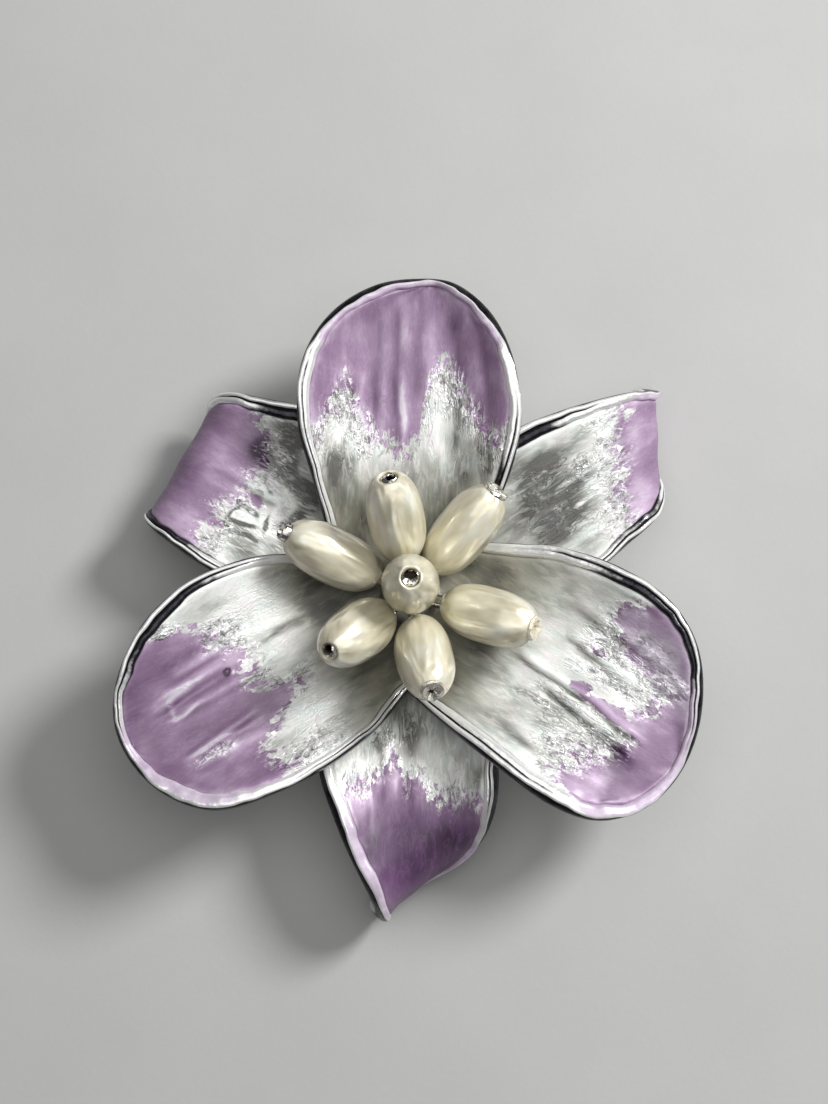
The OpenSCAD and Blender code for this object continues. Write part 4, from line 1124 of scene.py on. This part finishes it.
def floor_material(settings):
    """Plain pale board with a faint cloudiness."""
    paint = Paint("pale_floor")
    at = paint.place_in_mm()
    colour = settings.floor_colour
    return paint.surface(paint.put("BsdfPrincipled", {
        "Base Color": paint.shades(paint.noise(at, 0.06, 4), (0.35, *[0.96 * part for part in colour]),
                                   (0.65, *colour)),
        "Roughness": 0.75, "Normal": paint.bump(paint.noise(at, 1.5, 3), 0.08, 0.0002)}))


class BroochPetalSettings(PropertyGroup):
    rim_height: FloatProperty(name="Rim height", description="Height of a polished rim over the tray floor",
                              default=0.00078, min=0.0005, max=0.0009, unit="LENGTH", precision=5)
    rim_rows: IntProperty(name="Rim rows", description="Steps along each edge of a petal", default=110,
                          min=24)
    floor_columns: IntProperty(name="Floor columns", description="Strips across a tray floor", default=28,
                               min=8)


class BroochEnamelSettings(PropertyGroup):
    enamel_level: FloatProperty(name="Enamel level", description="Height of the enamel over the tray floor",
                                default=0.00048, min=0.0002, max=0.0006, unit="LENGTH", precision=5)
    enamel_rows: IntProperty(name="Enamel rows", description="Steps along a petal", default=150, min=24)
    enamel_columns: IntProperty(name="Enamel columns", description="Strips across a petal, a multiple of 12",
                                default=120, min=24)
    lilac_dark: FloatVectorProperty(name="Dark lilac", description="Lilac in the deepest glaze",
                                    subtype="COLOR", size=3, default=(0.15, 0.085, 0.16), min=0, max=1)
    lilac_mid: FloatVectorProperty(name="Lilac", description="Lilac over most of a petal", subtype="COLOR",
                                   size=3, default=(0.33, 0.215, 0.34), min=0, max=1)
    lilac_light: FloatVectorProperty(name="Pale lilac", description="Lilac where the glaze is thin",
                                     subtype="COLOR", size=3, default=(0.56, 0.43, 0.58), min=0, max=1)


class BroochPearlSettings(PropertyGroup):
    bead_length: FloatProperty(name="Bead length", description="Length of a rice bead", default=0.009,
                               min=0.0084, max=0.0092, unit="LENGTH", precision=4)
    bead_width: FloatProperty(name="Bead width", description="Width of a rice bead", default=0.005,
                              min=0.0046, max=0.0051, unit="LENGTH", precision=4)
    bead_hole: FloatProperty(name="Bead hole", description="Width of the hole along a bead", default=0.0016,
                             min=0.0015, max=0.0019, unit="LENGTH", precision=4)
    post_width: FloatProperty(name="Post width", description="Width of a bead's post", default=0.00125,
                              min=0.001, max=0.00135, unit="LENGTH", precision=5)
    pearl_cream: FloatVectorProperty(name="Pearl cream", description="Colour of the beads", subtype="COLOR",
                                     size=3, default=(0.83, 0.78, 0.6), min=0, max=1)


class BroochStageSettings(PropertyGroup):
    floor_colour: FloatVectorProperty(name="Floor colour", description="Colour of the floor", subtype="COLOR",
                                      size=3, default=(0.50, 0.50, 0.49), min=0, max=1)
    light_power: FloatProperty(name="Light power", description="Power of the main soft light", default=1.7,
                               min=0.1, unit="POWER")
    camera_distance: FloatProperty(name="Camera distance", description="From the camera to the petals",
                                   default=0.2, min=0.1, unit="LENGTH")
    camera_tilt: FloatProperty(name="Camera tilt", description="Lean of the camera from straight above",
                               default=math.radians(8), min=0, max=1, unit="ROTATION")


class BROOCH_OT_petal_metal(Operator):
    """Makes the two castings that hold the enamel, three petals each"""
    bl_idname = "brooch.petal_metal"
    bl_label = "Petal metal"

    def execute(self, context):
        material = metal_material(context.scene.brooch_enamel)
        for layer in LAYERS:
            casting(layer, context.scene.brooch_petals, material)
        return {"FINISHED"}


class BROOCH_OT_petal_enamel(Operator):
    """Fills the six petals with lilac and silver enamel"""
    bl_idname = "brooch.petal_enamel"
    bl_label = "Petal enamel"

    def execute(self, context):
        material = enamel_material(context.scene.brooch_enamel)
        for seed, name in enumerate(PETALS):
            enamel(name, 3 + 7 * seed, context.scene.brooch_enamel, material)
        return {"FINISHED"}


class BROOCH_OT_pearls(Operator):
    """Turns the seven rice beads and sets them on their posts"""
    bl_idname = "brooch.pearls"
    bl_label = "Pearls"

    def execute(self, context):
        settings = context.scene.brooch_pearls
        material = pearl_material(settings)
        half, radius = settings.bead_length / MM / 2, settings.bead_width / MM / 2
        hole = settings.bead_hole / MM / 2
        mouth = hole + MOUTH_ROUND
        cut = (1 - (mouth / radius) ** 2) ** (1 / BEAD_FULLNESS)
        along = -np.cos(np.linspace(0, math.pi, BEAD_STEPS))
        outer = [(radius * math.sqrt(1 - abs(v * cut) ** BEAD_FULLNESS), v * half) for v in along]
        lip = [(mouth - 0.08, half + 0.03), (hole + 0.05, half + 0.01),
               (hole, half - 0.1), (hole, half - 0.8)]
        profile = outer + lip + [(r, -h) for r, h in lip[::-1]]
        for seed, bead in enumerate(BEADS):
            cast = Cast(("bead_place",))
            turned(cast, profile, BEAD_AROUND, post_frame(bead), BEAD_UNEVEN, seed + 2, closed=True)
            piece = cast.finish(f"{bead}_bead", material, sharp=60)
            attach(piece, "root")
            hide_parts(bead)
        return {"FINISHED"}


class BROOCH_OT_pearl_holder(Operator):
    """Makes the soldered boss and the seven posts with their pressed ends"""
    bl_idname = "brooch.pearl_holder"
    bl_label = "Pearl holder"

    def execute(self, context):
        settings = context.scene.brooch_pearls
        cast = Cast(("patina", "cream"))
        base = LAYERS["front"]["hub"] + BOSS_GAP
        turned(cast, [(radius, base + high) for radius, high in BOSS], BOSS_AROUND,
               Matrix.Identity(4), BOSS_UNEVEN, 5)
        post = settings.post_width / MM / 2
        for seed, (bead, (_, _, out, proud, shut, open_side, cream)) in enumerate(BEADS.items()):
            end = settings.bead_length / MM / 2 + proud
            shank = [(0, -out), (post * 0.8, -out), (post, -out + 0.4), (post, end - 1.2), (0, end - 1.2)]
            turned(cast, shank, POST_AROUND, post_frame(bead), POST_UNEVEN, seed + 4)
            post_end(cast, post + POST_FLARE, end, shut, open_side, cream, post_frame(bead), seed + 31)
        material = plain_metal_material("bright_post_metal", light=(0.92, 0.9, 0.84),
                                        dark=(0.62, 0.6, 0.53), rough=0.18)
        piece = cast.finish("pearl_holder_metal", material, sharp=24)
        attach(piece, "root")
        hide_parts("pearl_holder")
        return {"FINISHED"}


class BROOCH_OT_pin(Operator):
    """Finishes the bar pin behind the flower"""
    bl_idname = "brooch.pin"
    bl_label = "Bar pin"

    def execute(self, context):
        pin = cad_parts["brooch_pin"]
        material = plain_metal_material("brushed_pin_steel", light=(0.62, 0.62, 0.63),
                                        dark=(0.36, 0.36, 0.37), rough=0.26)
        if not pin.material_slots:
            pin.data.materials.append(material)
        for slot in pin.material_slots:
            slot.material = material
        softened = pin.modifiers.new("softened_edges", "BEVEL")
        softened.width = PIN_SOFTNESS
        softened.segments = 3
        softened.limit_method = "ANGLE"
        softened.angle_limit = math.radians(50)
        softened.harden_normals = True
        return {"FINISHED"}


class BROOCH_OT_stage(Operator):
    """Sets the pale floor, the soft lights and the camera"""
    bl_idname = "brooch.stage"
    bl_label = "Floor, lights and camera"

    def execute(self, context):
        settings = context.scene.brooch_stage
        scene = context.scene
        shape = bmesh.new()
        bmesh.ops.create_grid(shape, x_segments=40, y_segments=40, size=FLOOR_HALF)
        data = bpy.data.meshes.new("floor")
        shape.to_mesh(data)
        shape.free()
        data.materials.append(floor_material(settings))
        floor = in_scene("floor", data)
        floor.location.z = CAD_BOX[0][2] - FLOOR_GAP
        world = bpy.data.worlds.new("studio")
        world.use_nodes = True
        scene.world = world
        scene.view_settings.view_transform = "Standard"
        back = world.node_tree.nodes["Background"]
        back.inputs["Color"].default_value = SKY
        back.inputs["Strength"].default_value = SKY_STRENGTH
        for name, spot, size, power in LIGHTS:
            lamp = bpy.data.lights.new(name, "AREA")
            lamp.shape = "DISK"
            lamp.size = size
            lamp.energy = settings.light_power * power
            holder = in_scene(name, lamp)
            holder.location = Vector(spot) + Vector(HEART)
            holder.rotation_euler = (-Vector(spot)).to_track_quat("-Z", "Y").to_euler()
        tilt = settings.camera_tilt
        right = Vector((1, 0, 0))
        up = Vector((0, math.cos(tilt), math.sin(tilt)))
        ahead = Vector((0, math.sin(tilt), -math.cos(tilt)))
        focal = PIXELS_PER_MM * settings.camera_distance / MM
        heart = Vector((HEART[0], HEART[1], HEART_TOP))
        reach = settings.camera_distance - (HEART_TOP - PETAL_LEVEL) * math.cos(tilt)
        across = (HEART_PIXEL[0] - FRAME_PIXELS[0] / 2) / focal
        above = (FRAME_PIXELS[1] / 2 - HEART_PIXEL[1]) / focal
        camera = bpy.data.cameras.new("camera")
        camera.sensor_fit = "VERTICAL"
        camera.sensor_height = SENSOR_HEIGHT
        camera.lens = SENSOR_HEIGHT * focal / FRAME_PIXELS[1]
        camera.clip_start = 0.01
        holder = in_scene("camera", camera)
        holder.location = heart - reach * (ahead + across * right + above * up)
        holder.rotation_euler = (tilt, 0, 0)
        scene.camera = holder
        return {"FINISHED"}


class BROOCH_PT_panel(Panel):
    bl_idname = "BROOCH_PT_panel"
    bl_label = "Flower brooch"
    bl_space_type = "VIEW_3D"
    bl_region_type = "UI"
    bl_category = "Brooch"

    def draw(self, context):
        for group in GROUPS:
            settings = getattr(context.scene, group)
            box = self.layout.box()
            for name in settings.__annotations__:
                box.prop(settings, name)
        for piece in OPERATORS:
            self.layout.operator(piece.bl_idname)


GROUPS = {
    "brooch_petals": BroochPetalSettings,
    "brooch_enamel": BroochEnamelSettings,
    "brooch_pearls": BroochPearlSettings,
    "brooch_stage": BroochStageSettings,
}
OPERATORS = (BROOCH_OT_petal_metal, BROOCH_OT_petal_enamel, BROOCH_OT_pearls, BROOCH_OT_pearl_holder,
             BROOCH_OT_pin, BROOCH_OT_stage)


def register():
    for group in (*GROUPS.values(), *OPERATORS, BROOCH_PT_panel):
        bpy.utils.register_class(group)
    for name, group in GROUPS.items():
        setattr(bpy.types.Scene, name, PointerProperty(type=group))


def unregister():
    for name in GROUPS:
        delattr(bpy.types.Scene, name)
    for group in (BROOCH_PT_panel, *OPERATORS[::-1], *tuple(GROUPS.values())[::-1]):
        bpy.utils.unregister_class(group)


def main():
    register()
    for piece in OPERATORS:
        area, action = piece.bl_idname.split(".")
        getattr(getattr(bpy.ops, area), action)()


if __name__ == "__main__":
    main()
